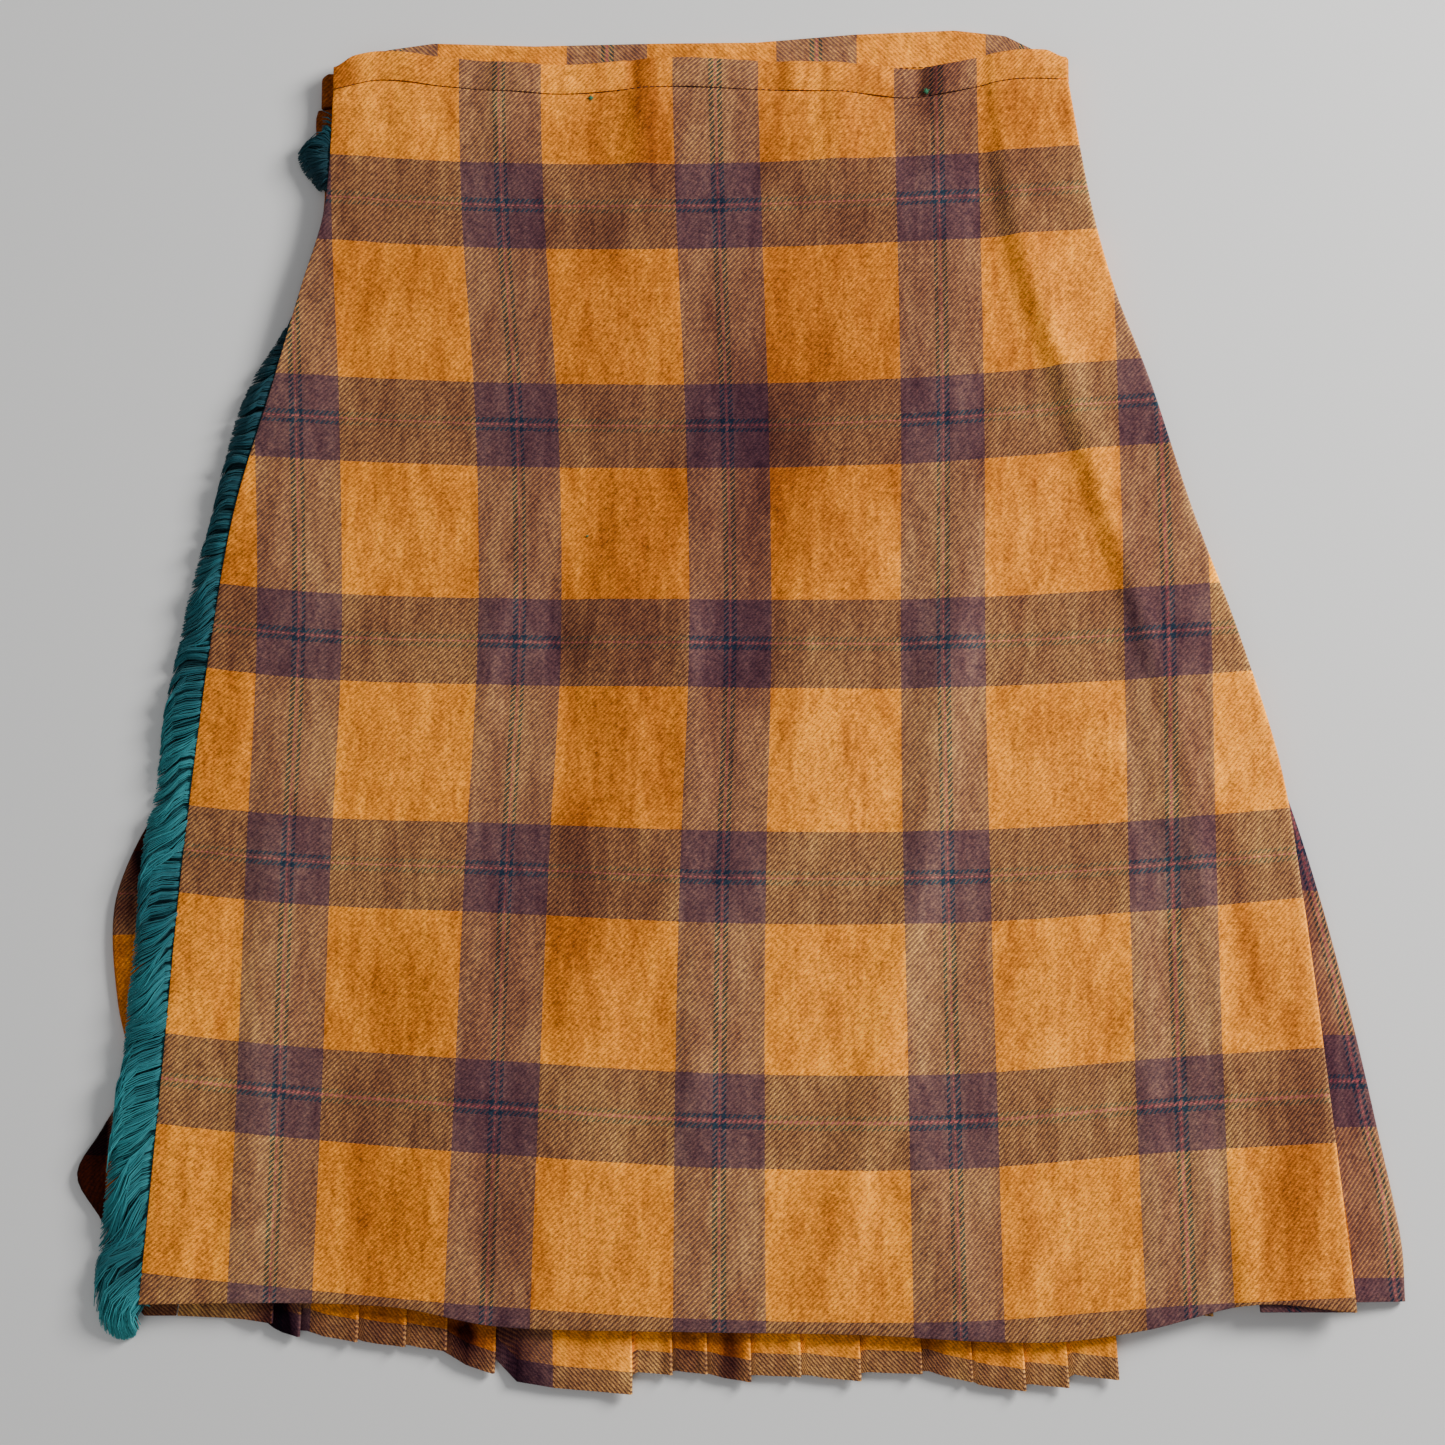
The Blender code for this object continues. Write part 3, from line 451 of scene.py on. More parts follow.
def twillMaterial(name, twill):
    look = twillLook
    made = bpy.data.materials.new(name)
    made.use_nodes = True
    tree = made.node_tree
    shader = tree.nodes["Principled BSDF"]
    measure = tree.nodes.new("ShaderNodeUVMap")
    measure.uv_map = "clothMeasure"
    place = tree.nodes.new("ShaderNodeTexCoord")
    # the painted shade and shine of each piece
    paintedShade = tree.nodes.new("ShaderNodeAttribute")
    paintedShade.attribute_name = "clothShade"
    weave = tree.nodes.new("ShaderNodeGroup")
    weave.node_tree = twill
    tree.links.new(measure.outputs["UV"], weave.inputs["Cloth"])
    tree.links.new(place.outputs["Object"], weave.inputs["Place"])
    tree.links.new(paintedShade.outputs["Fac"], weave.inputs["Shade"])
    weave.inputs["Thread"].default_value = cloth["thread"]
    for label, key in (
        ("Sett", "sett"), ("Half Band", "halfBand"), ("Ground", "ground"), ("Ground Crossed", "groundCrossed"),
        ("Warp Band", "warpBand"), ("Weft Band", "weftBand"), ("Band Crossed", "bandCrossed"),
        ("Warp Edge", "warpEdge"), ("Weft Edge", "weftEdge"), ("Edge Crossed", "edgeCrossed"),
        ("Centre Line", "centreLine"), ("Cover", "cover"), ("Uneven", "uneven"), ("Wander", "wander"),
        ("Nap", "nap"), ("Mottle", "mottle"),
    ):
        weave.inputs[label].default_value = look[key]
    tree.links.new(weave.outputs["Color"], shader.inputs["Base Color"])
    tree.links.new(weave.outputs["Roughness"], shader.inputs["Roughness"])
    relief = tree.nodes.new("ShaderNodeBump")
    relief.inputs["Strength"].default_value = look["relief"]
    relief.inputs["Distance"].default_value = look["bump"]
    tree.links.new(weave.outputs["Height"], relief.inputs["Height"])
    tree.links.new(relief.outputs["Normal"], shader.inputs["Normal"])
    shader.inputs["Sheen Weight"].default_value = look["sheen"]
    shader.inputs["Sheen Roughness"].default_value = 0.5
    shader.inputs["Sheen Tint"].default_value = look["sheenTint"]
    shader.inputs["Specular IOR Level"].default_value = look["shine"]
    return made


stripes = buildStripes()
twill = buildTwill(stripes)
apronTwill = twillMaterial("apronTwill", twill)
sideTwill = twillMaterial("sideTwill", twill)
underTwill = twillMaterial("underTwill", twill)
backTwill = twillMaterial("backTwill", twill)
bandTwill = twillMaterial("bandTwill", twill)
print("kilt: cloth materials made")

# Front apron: its edges at rising heights, its hem and waist seam, and its soft folds
apron = dict(
    edges=(  # up, left edge, crease
        (-0.270, -0.2630, 0.2853), (-0.210, -0.2583, 0.2793), (-0.150, -0.2538, 0.2732),
        (-0.080, -0.2488, 0.2653), (-0.020, -0.2431, 0.2566), (0.040, -0.2363, 0.2393),
        (0.100, -0.2270, 0.2185), (0.160, -0.2105, 0.2003), (0.205, -0.1984, 0.1842),
        (0.245, -0.1876, 0.1740), (0.310, -0.1840, 0.1632),
    ),
    hem=(  # across, up
        (-0.263, -0.2633), (-0.190, -0.2628), (-0.145, -0.2650), (-0.100, -0.2732), (-0.020, -0.2755),
        (0.060, -0.2768), (0.145, -0.2803), (0.190, -0.2750), (0.241, -0.2634), (0.285, -0.2668),
    ),
    waist=(
        (-0.1840, 0.3025), (-0.1625, 0.3070), (-0.1350, 0.3042), (-0.1026, 0.3015), (-0.0728, 0.3003),
        (-0.0235, 0.3040), (0.0135, 0.3025), (0.0519, 0.3015), (0.0908, 0.2988), (0.1387, 0.3070),
        (0.1630, 0.3070),
    ),
    returnWidth=0.042,
    returnTaper=0.012,
    up=0.0088,
    edgeUp=0.0100,
    creaseUp=0.0117,
    troughUp=0.0079,
    waistUp=0.0097,
    lowest=0.0077,
    lowestWaist=0.0088,
    folds=(  # points of each soft ridge or trough, its rise and its spread
        (((0.049, -0.255), (0.094, -0.060), (0.119, 0.125)), 0.0026, 0.012),
        (((0.106, -0.272), (0.086, -0.170)), 0.0024, 0.013),
        (((0.072, -0.080), (0.088, 0.130)), -0.0014, 0.013),
        (((0.008, -0.060), (0.018, 0.054), (0.036, 0.165)), -0.0016, 0.013),
        (((-0.011, -0.050), (-0.021, 0.080)), 0.0018, 0.009),
        (((-0.013, -0.210), (-0.009, -0.090)), 0.002, 0.012),
        (((-0.044, -0.070), (-0.044, 0.110)), 0.002, 0.022),
        (((-0.120, -0.272), (-0.126, -0.040)), 0.0022, 0.020),
        (((-0.112, -0.262), (-0.098, -0.190), (-0.092, -0.100)), -0.0015, 0.015),
        (((-0.066, -0.010), (-0.079, 0.065)), -0.0012, 0.007),
        (((-0.112, -0.015), (-0.102, 0.075)), 0.0016, 0.008),
        (((-0.216, -0.262), (-0.204, -0.010)), 0.0022, 0.014),
        (((-0.208, 0.025), (-0.201, 0.160)), 0.0016, 0.010),
        (((-0.040, 0.255), (-0.036, 0.310)), 0.0024, 0.008),
        (((0.052, 0.258), (0.060, 0.312)), 0.0018, 0.010),
        (((0.090, 0.250), (0.086, 0.310)), -0.0012, 0.007),
        (((-0.105, 0.265), (-0.100, 0.310)), 0.0016, 0.011),
        (((-0.150, 0.262), (-0.148, 0.312)), 0.0012, 0.012),
        (((0.222, -0.268), (0.212, -0.060), (0.183, 0.085)), 0.003, 0.010),
        (((0.180, 0.090), (0.135, 0.255)), 0.0018, 0.012),
        (((0.197, -0.265), (0.189, -0.075)), 0.0016, 0.010),
    ),
    shade=(  # points of each soft line of shade or shine, its strength and its spread
        (((-0.150, 0.165), (0.110, 0.170)), -0.32, 0.120),
        (((0.006, -0.070), (0.013, 0.054), (0.031, 0.175)), -0.40, 0.017),
        (((-0.006, -0.045), (-0.017, 0.075)), 0.13, 0.007),
        (((-0.009, -0.200), (-0.004, -0.100)), 0.14, 0.009),
        (((0.054, -0.262), (0.084, -0.141), (0.109, -0.018), (0.127, 0.110)), 0.26, 0.008),
        (((-0.098, -0.282), (-0.100, -0.180), (-0.108, -0.040)), -0.34, 0.016),
        (((-0.072, -0.125), (-0.070, -0.020)), -0.22, 0.010),
        (((0.228, -0.262), (0.224, -0.135), (0.188, 0.075)), 0.18, 0.007),
        (((0.192, -0.195), (0.199, -0.075)), 0.16, 0.009),
        (((0.254, -0.115), (0.262, -0.170), (0.261, -0.215)), -0.42, 0.014),
        (((0.252, -0.190), (0.263, -0.292)), -0.38, 0.017),
        (((0.225, -0.040), (0.233, -0.070), (0.246, -0.125)), -0.44, 0.006),
        (((0.179, 0.096), (0.138, 0.250)), 0.15, 0.008),
        (((-0.106, 0.075), (-0.110, 0.155)), 0.11, 0.007),
        (((-0.106, -0.008), (-0.098, 0.064)), 0.13, 0.007),
        (((-0.208, -0.080), (-0.209, -0.020)), 0.18, 0.012),
        (((-0.216, -0.275), (-0.211, -0.130)), 0.26, 0.013),
        (((-0.032, 0.255), (-0.038, 0.316)), -0.38, 0.008),
        (((0.021, 0.252), (0.024, 0.306)), -0.28, 0.008),
        (((0.094, 0.284), (0.104, 0.322)), -0.46, 0.014),
        (((-0.004, 0.255), (-0.008, 0.320)), 0.16, 0.010),
        (((0.028, 0.208), (0.062, 0.262)), -0.12, 0.018),
        (((-0.080, 0.222), (-0.022, 0.256)), -0.18, 0.016),
        (((0.115, -0.275), (0.090, -0.165)), 0.15, 0.009),
        (((-0.056, 0.045), (-0.090, 0.115)), 0.11, 0.006),
        (((-0.060, -0.004), (-0.071, 0.056)), -0.20, 0.007),
        (((-0.202, 0.030), (-0.195, 0.160)), 0.10, 0.008),
        (((-0.076, -0.120), (-0.046, -0.020), (-0.034, 0.090)), -0.34, 0.026),
        (((-0.156, -0.268), (-0.150, -0.080)), -0.32, 0.020),
        (((-0.066, 0.250), (-0.046, 0.310)), -0.22, 0.026),
        (((0.120, 0.250), (0.152, 0.310)), -0.20, 0.026),
        (((-0.238, -0.110), (-0.221, 0.095)), -0.30, 0.018),
        (((0.237, -0.070), (0.241, 0.030)), 0.10, 0.018),
        (((0.214, -0.275), (0.214, -0.185)), 0.20, 0.009),
        (((0.206, -0.090), (0.213, -0.030)), 0.18, 0.008),
        (((-0.275, -0.262), (-0.180, -0.262)), 0.26, 0.006),
        (((0.000, 0.150), (-0.075, 0.010)), -0.14, 0.030),
        (((0.024, 0.150), (0.074, 0.262)), -0.12, 0.036),
        (((-0.152, 0.195), (-0.158, 0.280)), -0.16, 0.030),
        (((0.214, 0.000), (0.188, 0.110)), -0.14, 0.010),
    ),
    creaseShine=0.42,     # the rounded edge of the crease catches the light
    shineWide=0.0018,
    shineAbove=0.0098,
    wrinkle=0.00080,
    panelColumns=196,
    returnColumns=10,
    rows=210,
)
apronLeftKnots = [(row[0], row[1]) for row in apron["edges"]]
apronRightKnots = [(row[0], row[2]) for row in apron["edges"]]
creaseTurn = cloth["openLayer"] / 2


def apronLeft(up):
    return curveThrough(apronLeftKnots, up)


def apronRight(up):
    return curveThrough(apronRightKnots, up)


def returnWidth(up):
    rise = (up - apron["hem"][-1][1]) / (apron["waist"][-1][1] - apron["hem"][-1][1])
    return apron["returnWidth"] - apron["returnTaper"] * rise


def apronHeight(across, up):
    fromCrease = apronRight(up) - across
    fromLeft = across - apronLeft(up)
    pastReturn = fromCrease - returnWidth(up)
    flat = mix(apron["troughUp"], apron["up"], ease((pastReturn - 0.018) / 0.022))
    flat = mix(apron["edgeUp"], flat, ease((fromLeft - 0.018) / 0.012))
    flat = mix(apron["creaseUp"], flat, ease((pastReturn - 0.004) / 0.012))
    nearWaist = ease((up - 0.262) / 0.024)
    flat = np.maximum(flat, mix(flat, apron["waistUp"], nearWaist))
    calm = ease(fromCrease / 0.050) * ease((fromLeft - 0.010) / 0.030)
    lowest = mix(apron["lowest"], apron["lowestWaist"], nearWaist)
    patchy = 0.55 + 0.45 * np.sin(across * 19 + up * 13 + 1.1) * np.sin(up * 17 - across * 11)
    wrinkled = apron["wrinkle"] * ripple(across, up, 0.6) * patchy
    over = flat + (softLines(apron["folds"], across, up) + wrinkled) * calm - lowest
    return lowest + (over + np.sqrt(over ** 2 + 0.0003 ** 2)) / 2


def apronPlace(column, rise):
    hemLeft, hemRight = apronLeft(apron["hem"][0][1]), apronRight(apron["hem"][-1][1])
    hemUp = curveThrough(apron["hem"], mix(hemLeft, hemRight, column))
    waistUp = curveThrough(apron["waist"], mix(apron["waist"][0][0], apron["waist"][-1][0], column))
    up = mix(hemUp, waistUp - cloth["seam"], rise)
    across = mix(apronLeft(up), apronRight(up) - creaseTurn - cloth["wall"] / 2, column)
    return across, up


# Where the middles of the brown bands cross on the apron, in millimetres: a row for each band
# that runs across, from above the waist down, and a column for each one that runs up.
check = dict(
    acrossMm=(
        (-313, -207, -107, -5, 100, 200, 301),
        (-306, -204, -104, -2, 102, 202, 303),
        (-301, -199, -96, 2, 103, 204, 305),
        (-297, -196, -94, 3.5, 102, 206, 309),
        (-300, -199, -99, 0, 103, 206, 309),
        (-302, -201, -103, -1.5, 105, 207.5, 310.5),
        (-305, -204, -107, -1.5, 107, 211, 315),
    ),
    upMm=(
        (360, 360, 355, 354.5, 359, 364, 365),
        (256, 251, 246, 246, 250, 255.5, 256),
        (150, 144.5, 140.5, 140, 143.5, 152, 154.5),
        (53.5, 41.5, 38, 37.5, 37.5, 42.5, 50),
        (-52, -63, -67, -71, -71, -65, -55.5),
        (-157, -168, -175.5, -181.5, -182, -174, -168),
        (-265.5, -276, -285, -291, -292, -285, -280),
    ),
)


def crossingPlace(u, v):
    # smooth sheet through the crossings; u counts bands to the right, v counts bands down
    rows = [np.array(check["acrossMm"]) / 1000, np.array(check["upMm"]) / 1000]
    found = []
    column = np.clip(np.floor(u).astype(int), 0, 5)
    row = np.clip(np.floor(v).astype(int), 0, 5)

    def weights(t):
        return (
            (-t ** 3 + 2 * t ** 2 - t) / 2,
            (3 * t ** 3 - 5 * t ** 2 + 2) / 2,
            (-3 * t ** 3 + 4 * t ** 2 + t) / 2,
            (t ** 3 - t ** 2) / 2,
        )

    for table in rows:
        wide = np.pad(table, 1, mode="reflect", reflect_type="odd")
        total = np.zeros_like(u)
        for j, downWeight in enumerate(weights(v - row)):
            for i, alongWeight in enumerate(weights(u - column)):
                total += downWeight * alongWeight * wide[row + j, column + i]
        found.append(total)
    return found


def checkMeasure(across, up):
    # the cloth's own measure at places on the apron, by steps towards the right crossing
    u = across / 0.1015 + 3.0       # a first guess, from the bands' usual distance
    v = 3.4 - up / 0.107
    small = 0.01
    for _ in range(12):
        a, b = crossingPlace(u, v)
        aU, bU = crossingPlace(u + small, v)
        aV, bV = crossingPlace(u, v + small)
        aU, bU, aV, bV = (aU - a) / small, (bU - b) / small, (aV - a) / small, (bV - b) / small
        missA, missB = across - a, up - b
        whole = aU * bV - aV * bU
        u = np.clip(u + (missA * bV - aV * missB) / whole, -1.0, 7.0)
        v = np.clip(v + (aU * missB - missA * bU) / whole, -1.0, 7.0)
    return u * twillLook["sett"], -v * twillLook["sett"]


def buildApron():
    share = np.linspace(0, 1, apron["panelColumns"])
    share = share + 0.025 * np.sin(share * math.pi) ** 2 * (share > 0.5)  # closer set by the crease
    share = np.sort(np.clip(share, 0, 1))
    rise = np.linspace(0, 1, apron["rows"])[:, None]
    across, up = apronPlace(share[None, :] * np.ones_like(rise), rise)
    height = apronHeight(across, up)
    u, v = checkMeasure(across, up)
    turns = np.radians(np.linspace(75, -90, 12))
    creaseAcross, creaseUp, creaseHeight = across[:, -1:], up[:, -1:], height[:, -1:] - creaseTurn
    turnAcross = creaseAcross + creaseTurn * np.cos(turns)[None, :]
    turnHeight = creaseHeight + creaseTurn * np.sin(turns)[None, :]
    inward = np.linspace(0, 1, apron["returnColumns"] + 1)[1:]
    backAcross = creaseAcross - returnWidth(creaseUp) * inward[None, :]
    backUp = creaseUp * np.ones_like(backAcross)
    backHeight = apronHeight(backAcross, backUp) - cloth["openLayer"]
    turnUp = creaseUp * np.ones_like(turnAcross)
    lastU = u[:, -1:]
    across = np.hstack([across, turnAcross, backAcross])
    up = np.hstack([up, turnUp, backUp])
    height = np.hstack([height, turnHeight, backHeight])
    hidden = runLength(across[:, len(share) - 1:], up[:, len(share) - 1:], height[:, len(share) - 1:])[:, 1:]
    u = np.hstack([u, lastU + hidden])
    v = np.hstack([v, v[:, -1:] * np.ones_like(hidden)])
    shade = softLines(apron["shade"], across, up)
    nearCrease = np.exp(-(((apronRight(up) - across) / apron["shineWide"]) ** 2))
    shade += apron["creaseShine"] * nearCrease * (height > apron["shineAbove"])
    piece = sheetPiece("frontApron", across, up, height, u, v, cloth["wall"], shade)
    worn(piece, apronTwill, "front_apron")
    return piece


frontApron = buildApron()
print("kilt: front apron laid")

# Side pleat: comes out of the deep pleat under the crease and rolls round the side to the back
side = dict(
    reaches=(  # up, how far out from under the crease
        (-0.262, 0.0242), (-0.236, 0.0258), (-0.186, 0.0215), (-0.131, 0.0157), (-0.077, 0.0087),
        (-0.035, 0.0014), (-0.010, -0.0034), (0.305, -0.0034),
    ),
    hemUp=-0.2625,
    waistUp=0.2960,
    up=0.0081,
    drop=0.22,
    lowest=0.0036,
    shy=0.0010,
    joinHem=(0.282, -0.262),
    joinWaist=(0.148, 0.306),
    bandMiddle=(  # up, across: the middle of the brown band on what shows
        (-0.275, 0.3055), (-0.259, 0.3038), (-0.219, 0.2999), (-0.177, 0.2911), (-0.1355, 0.2835),
        (-0.0947, 0.2745), (-0.0625, 0.2665), (0.0, 0.2520), (0.310, 0.1820),
    ),
    shade=(
        (((0.298, -0.300), (0.282, -0.170), (0.256, 0.000)), -0.28, 0.020),
        (((0.284, -0.290), (0.262, -0.010)), -0.28, 0.005),
        (((0.320, -0.310), (0.303, -0.190), (0.274, -0.060)), 0.22, 0.009),
    ),
    crossBands=(
        (-0.400, -0.7), (-0.274, -0.6), (-0.1637, -0.5), (-0.0569, -0.4), (0.048, -0.3), (0.153, -0.2), (0.360, 0.0),
    ),
    rows=120,
)


def lineAcross(low, high, up):
    share = (up - low[1]) / (high[1] - low[1])
    return mix(low[0], high[0], share)


def buildSidePleat():
    rise = np.linspace(0, 1, side["rows"])[:, None]
    up = mix(side["hemUp"], side["waistUp"], rise)
    crease = apronRight(up)
    right = crease + curveThrough(side["reaches"], up)
    inner = crease - creaseTurn - cloth["wall"] / 2 - returnWidth(up) - 2 * cloth["seam"]
    out = np.maximum(right - crease, 0.0)
    top = np.maximum(side["lowest"], side["up"] - side["drop"] * out)
    turn = (top - floorUp) / 2
    centre = right - cloth["wall"] / 2 - turn
    start = np.minimum(crease, centre) - side["shy"]
    bend = np.radians(np.linspace(90, 270, 9))[None, :]
    partsAcross = [inner + creaseTurn * np.cos(bend)]
    partsHeight = [side["up"] + creaseTurn * (1 + np.sin(bend)) + 0 * inner]
    share = np.linspace(0, 1, 9)[1:][None, :]
    partsAcross.append(mix(inner, start, share))
    partsHeight.append(side["up"] + 0 * share + 0 * inner)
    share = np.linspace(0, 1, 15)[1:-1][None, :]
    partsAcross.append(mix(start, centre, share))
    partsHeight.append(mix(side["up"], top, share * (1.4 - 0.4 * share)))
    bend = np.radians(np.linspace(90, -90, 13))[None, :]
    partsAcross.append(centre + turn * np.cos(bend))
    partsHeight.append(floorUp + turn * (1 + np.sin(bend)))
    end = np.minimum(lineAcross(side["joinHem"], side["joinWaist"], up) + cloth["seam"], centre - cloth["seam"])
    share = np.linspace(0, 1, 9)[1:][None, :]
    partsAcross.append(mix(centre, end, share))
    partsHeight.append(floorUp + 0 * share + 0 * inner)
    across, height = np.hstack(partsAcross), np.hstack(partsHeight)
    ups = up * np.ones_like(across)
    along = runLength(across, ups, height)
    middleAcross = curveThrough(side["bandMiddle"], up[:, 0])
    first, last = 9, 9 + 8 + 13 + 6
    u = np.empty_like(across)
    for row in range(across.shape[0]):
        at = np.interp(middleAcross[row], across[row, first:last], along[row, first:last])
        over = max(middleAcross[row] - across[row, last - 1], 0.0)
        u[row] = along[row] - at - over
    v = curveThrough(side["crossBands"], ups)
    shade = softLines(side["shade"], across, ups)
    piece = sheetPiece("sidePleat", across, ups, height, u, v, cloth["wall"], shade)
    worn(piece, sideTwill, "side_pleat")
    return piece


# Under apron: a stretch on the surface, the roll round the left side and back over the pleats
under = dict(
    leftSide=(  # up, across
        (-0.266, -0.2630), (-0.245, -0.2720), (-0.226, -0.2820), (-0.206, -0.2935), (-0.186, -0.2830),
        (-0.162, -0.2710), (-0.128, -0.2770), (-0.097, -0.2802), (-0.076, -0.2780), (-0.048, -0.2662),
        (-0.025, -0.2500), (0.012, -0.2390), (0.060, -0.2320), (0.115, -0.2240), (0.154, -0.2130),
        (0.202, -0.1990), (0.250, -0.1888), (0.290, -0.1935), (0.306, -0.1868),
    ),
    joinHem=(-0.246, -0.262),
    joinWaist=(-0.176, 0.306),
    hemUp=-0.2570,
    floorHem=-0.2690,
    waistUp=0.2944,
    up=0.0063,
    turn=0.0013,
    climb=0.020,
    climbAtWaist=0.6,
    short=0.016,
    crossBands=(
        (-0.378, -0.7), (-0.278, -0.6), (-0.178, -0.5), (-0.078, -0.4), (0.022, -0.3), (0.122, -0.2), (0.322, 0.0),
    ),
    sideMeasure=0.045,    # cloth measure at the outermost line of the roll
    shade=(  # what shows past the fringe lies in its shadow
        (((-0.308, -0.260), (-0.308, -0.160)), -20.0, 0.016),
        (((-0.266, -0.064), (-0.255, -0.025)), -1.00, 0.009),
        (((-0.277, -0.096), (-0.263, -0.050)), -0.66, 0.012),
        (((-0.273, -0.160), (-0.2785, -0.090)), -0.34, 0.014),
        (((-0.246, -0.269), (-0.268, -0.269)), -0.35, 0.008),
        (((-0.193, 0.260), (-0.193, 0.320)), -0.75, 0.012),
        (((-0.201, 0.185), (-0.187, 0.265)), -0.60, 0.008),
    ),
    rows=150,
)


def sideClimb(up):
    rise = (up - under["hemUp"]) / (0.2950 - under["hemUp"])
    return under["climb"] * mix(1.0, under["climbAtWaist"], rise)


def rollLeft(up):
    return curveThrough(under["leftSide"], up)


def buildUnderApron():
    rise = np.linspace(0, 1, under["rows"])[:, None]
    floorColumns, turnColumns, climbColumns, topColumns = 9, 13, 8, 40
    lift = np.concatenate([
        np.linspace(-1 / 6, 0, floorColumns), np.linspace(0, 4 / 6, turnColumns),
        np.linspace(4 / 6, 5 / 6, climbColumns + 1)[1:], np.ones(topColumns),
    ])[None, :]
    hem = mix(under["floorHem"], under["hemUp"], ease(lift))
    up = mix(hem, under["waistUp"], rise)
    left = rollLeft(up) + cloth["wall"] / 2 + under["turn"]
    across, height = np.empty_like(up), np.empty_like(up)
    s = slice(0, floorColumns)
    start = lineAcross(under["joinHem"], under["joinWaist"], up[:, s]) - cloth["seam"]
    across[:, s] = mix(start, left[:, s], np.linspace(0, 1, floorColumns)[None, :])
    height[:, s] = floorUp
    s = slice(floorColumns, floorColumns + turnColumns)
    bend = np.radians(np.linspace(265, 90, turnColumns))[None, :]
    across[:, s] = left[:, s] + under["turn"] * np.cos(bend)
    height[:, s] = floorUp + under["turn"] * (1 + np.sin(bend))
    s = slice(floorColumns + turnColumns, floorColumns + turnColumns + climbColumns)
    share = np.linspace(0, 1, climbColumns + 1)[1:][None, :]
    across[:, s] = left[:, s] + sideClimb(up[:, s]) * share
    height[:, s] = mix(floorUp + 2 * under["turn"], under["up"], share)
    s = slice(floorColumns + turnColumns + climbColumns, None)
    share = np.linspace(0, 1, topColumns + 1)[1:][None, :]
    begin = left[:, s] + sideClimb(up[:, s])
    across[:, s] = mix(begin, apronRight(up[:, s]) - under["short"], share)
    height[:, s] = under["up"]
    along = runLength(across, up, height)
    at = floorColumns + turnColumns // 2
    u = along - along[:, at:at + 1] + under["sideMeasure"]
    v = curveThrough(under["crossBands"], up)
    shade = softLines(under["shade"], across, up)
    piece = sheetPiece("underApron", across, up, height, u, v, cloth["wall"], shade)
    worn(piece, underTwill, "under_apron")
    return piece


# Pleated back: knife pleats whose inner folds lie up and point right
pleats = dict(
    table=(  # across and up of the inner fold at the hem, how much the tuck is shorter, cloth measure there
        (-0.2040, -0.2720, 0.0020, -0.0195), (-0.1918, -0.2781, 0.0048, 0.010), (-0.1656, -0.2803, 0.0060, 0.040),
        (-0.1440, -0.2825, 0.0030, 0.044), (-0.1255, -0.2843, 0.0030, 0.046), (-0.1038, -0.2945, 0.0100, 0.047),
        (-0.0416, -0.3035, 0.0070, 0.054), (-0.0236, -0.2949, 0.0015, 0.046), (-0.0079, -0.2945, 0.0018, 0.047),
        (0.0119, -0.2980, 0.0040, 0.047), (0.0344, -0.2958, 0.0010, 0.048), (0.0614, -0.2976, 0.0032, 0.049),
        (0.0889, -0.2945, 0.0010, 0.049), (0.1118, -0.2980, 0.0060, 0.047), (0.1356, -0.3020, 0.0035, 0.046),
        (0.1550, -0.3006, 0.0020, 0.046), (0.1775, -0.2971, 0.0030, 0.046), (0.1996, -0.2719, 0.0030, 0.036),
        (0.2204, -0.2690, 0.0030, 0.046), (0.2436, -0.2630, 0.0020, 0.046), (0.2640, -0.2622, 0.0020, 0.046),
    ),
    waistLeft=-0.150,
    waistRight=0.148,
    flares=((0.00, 0.00), (0.25, 0.12), (0.50, 0.33), (0.68, 0.61), (0.85, 0.87), (1.00, 1.00)),
    tuckDepth=0.78,
    wide=0.036,
    rampEnd=0.92,
    rampShare=0.42,
    rampMost=0.0095,
    hemBand=0.010,        # height of the brown band that shows above the hem
    shade=(
        (((-0.245, -0.269), (-0.150, -0.274), (-0.090, -0.281)), -0.58, 0.008),
        (((-0.2015, -0.245), (-0.1955, -0.310)), -1.05, 0.005),
        (((-0.117, -0.250), (-0.115, -0.315)), -0.66, 0.008),
        (((-0.097, -0.260), (-0.093, -0.320)), -1.00, 0.006),
        (((-0.016, -0.262), (-0.016, -0.312)), -0.66, 0.006),
        (((0.003, -0.262), (0.0035, -0.314)), -0.95, 0.007),
        (((0.091, -0.260), (0.098, -0.315)), -0.70, 0.006),
        (((0.124, -0.262), (0.125, -0.315)), -0.40, 0.006),
        (((-0.258, -0.268), (-0.212, -0.268)), 0.80, 0.007),
        (((-0.105, -0.296), (0.205, -0.292)), 0.16, 0.010),
    ),
    foldShine=0.35,       # the rounded edge of each fold catches the light
    shineShare=0.04,
    outerMeasure=0.090,
    rows=44,
)


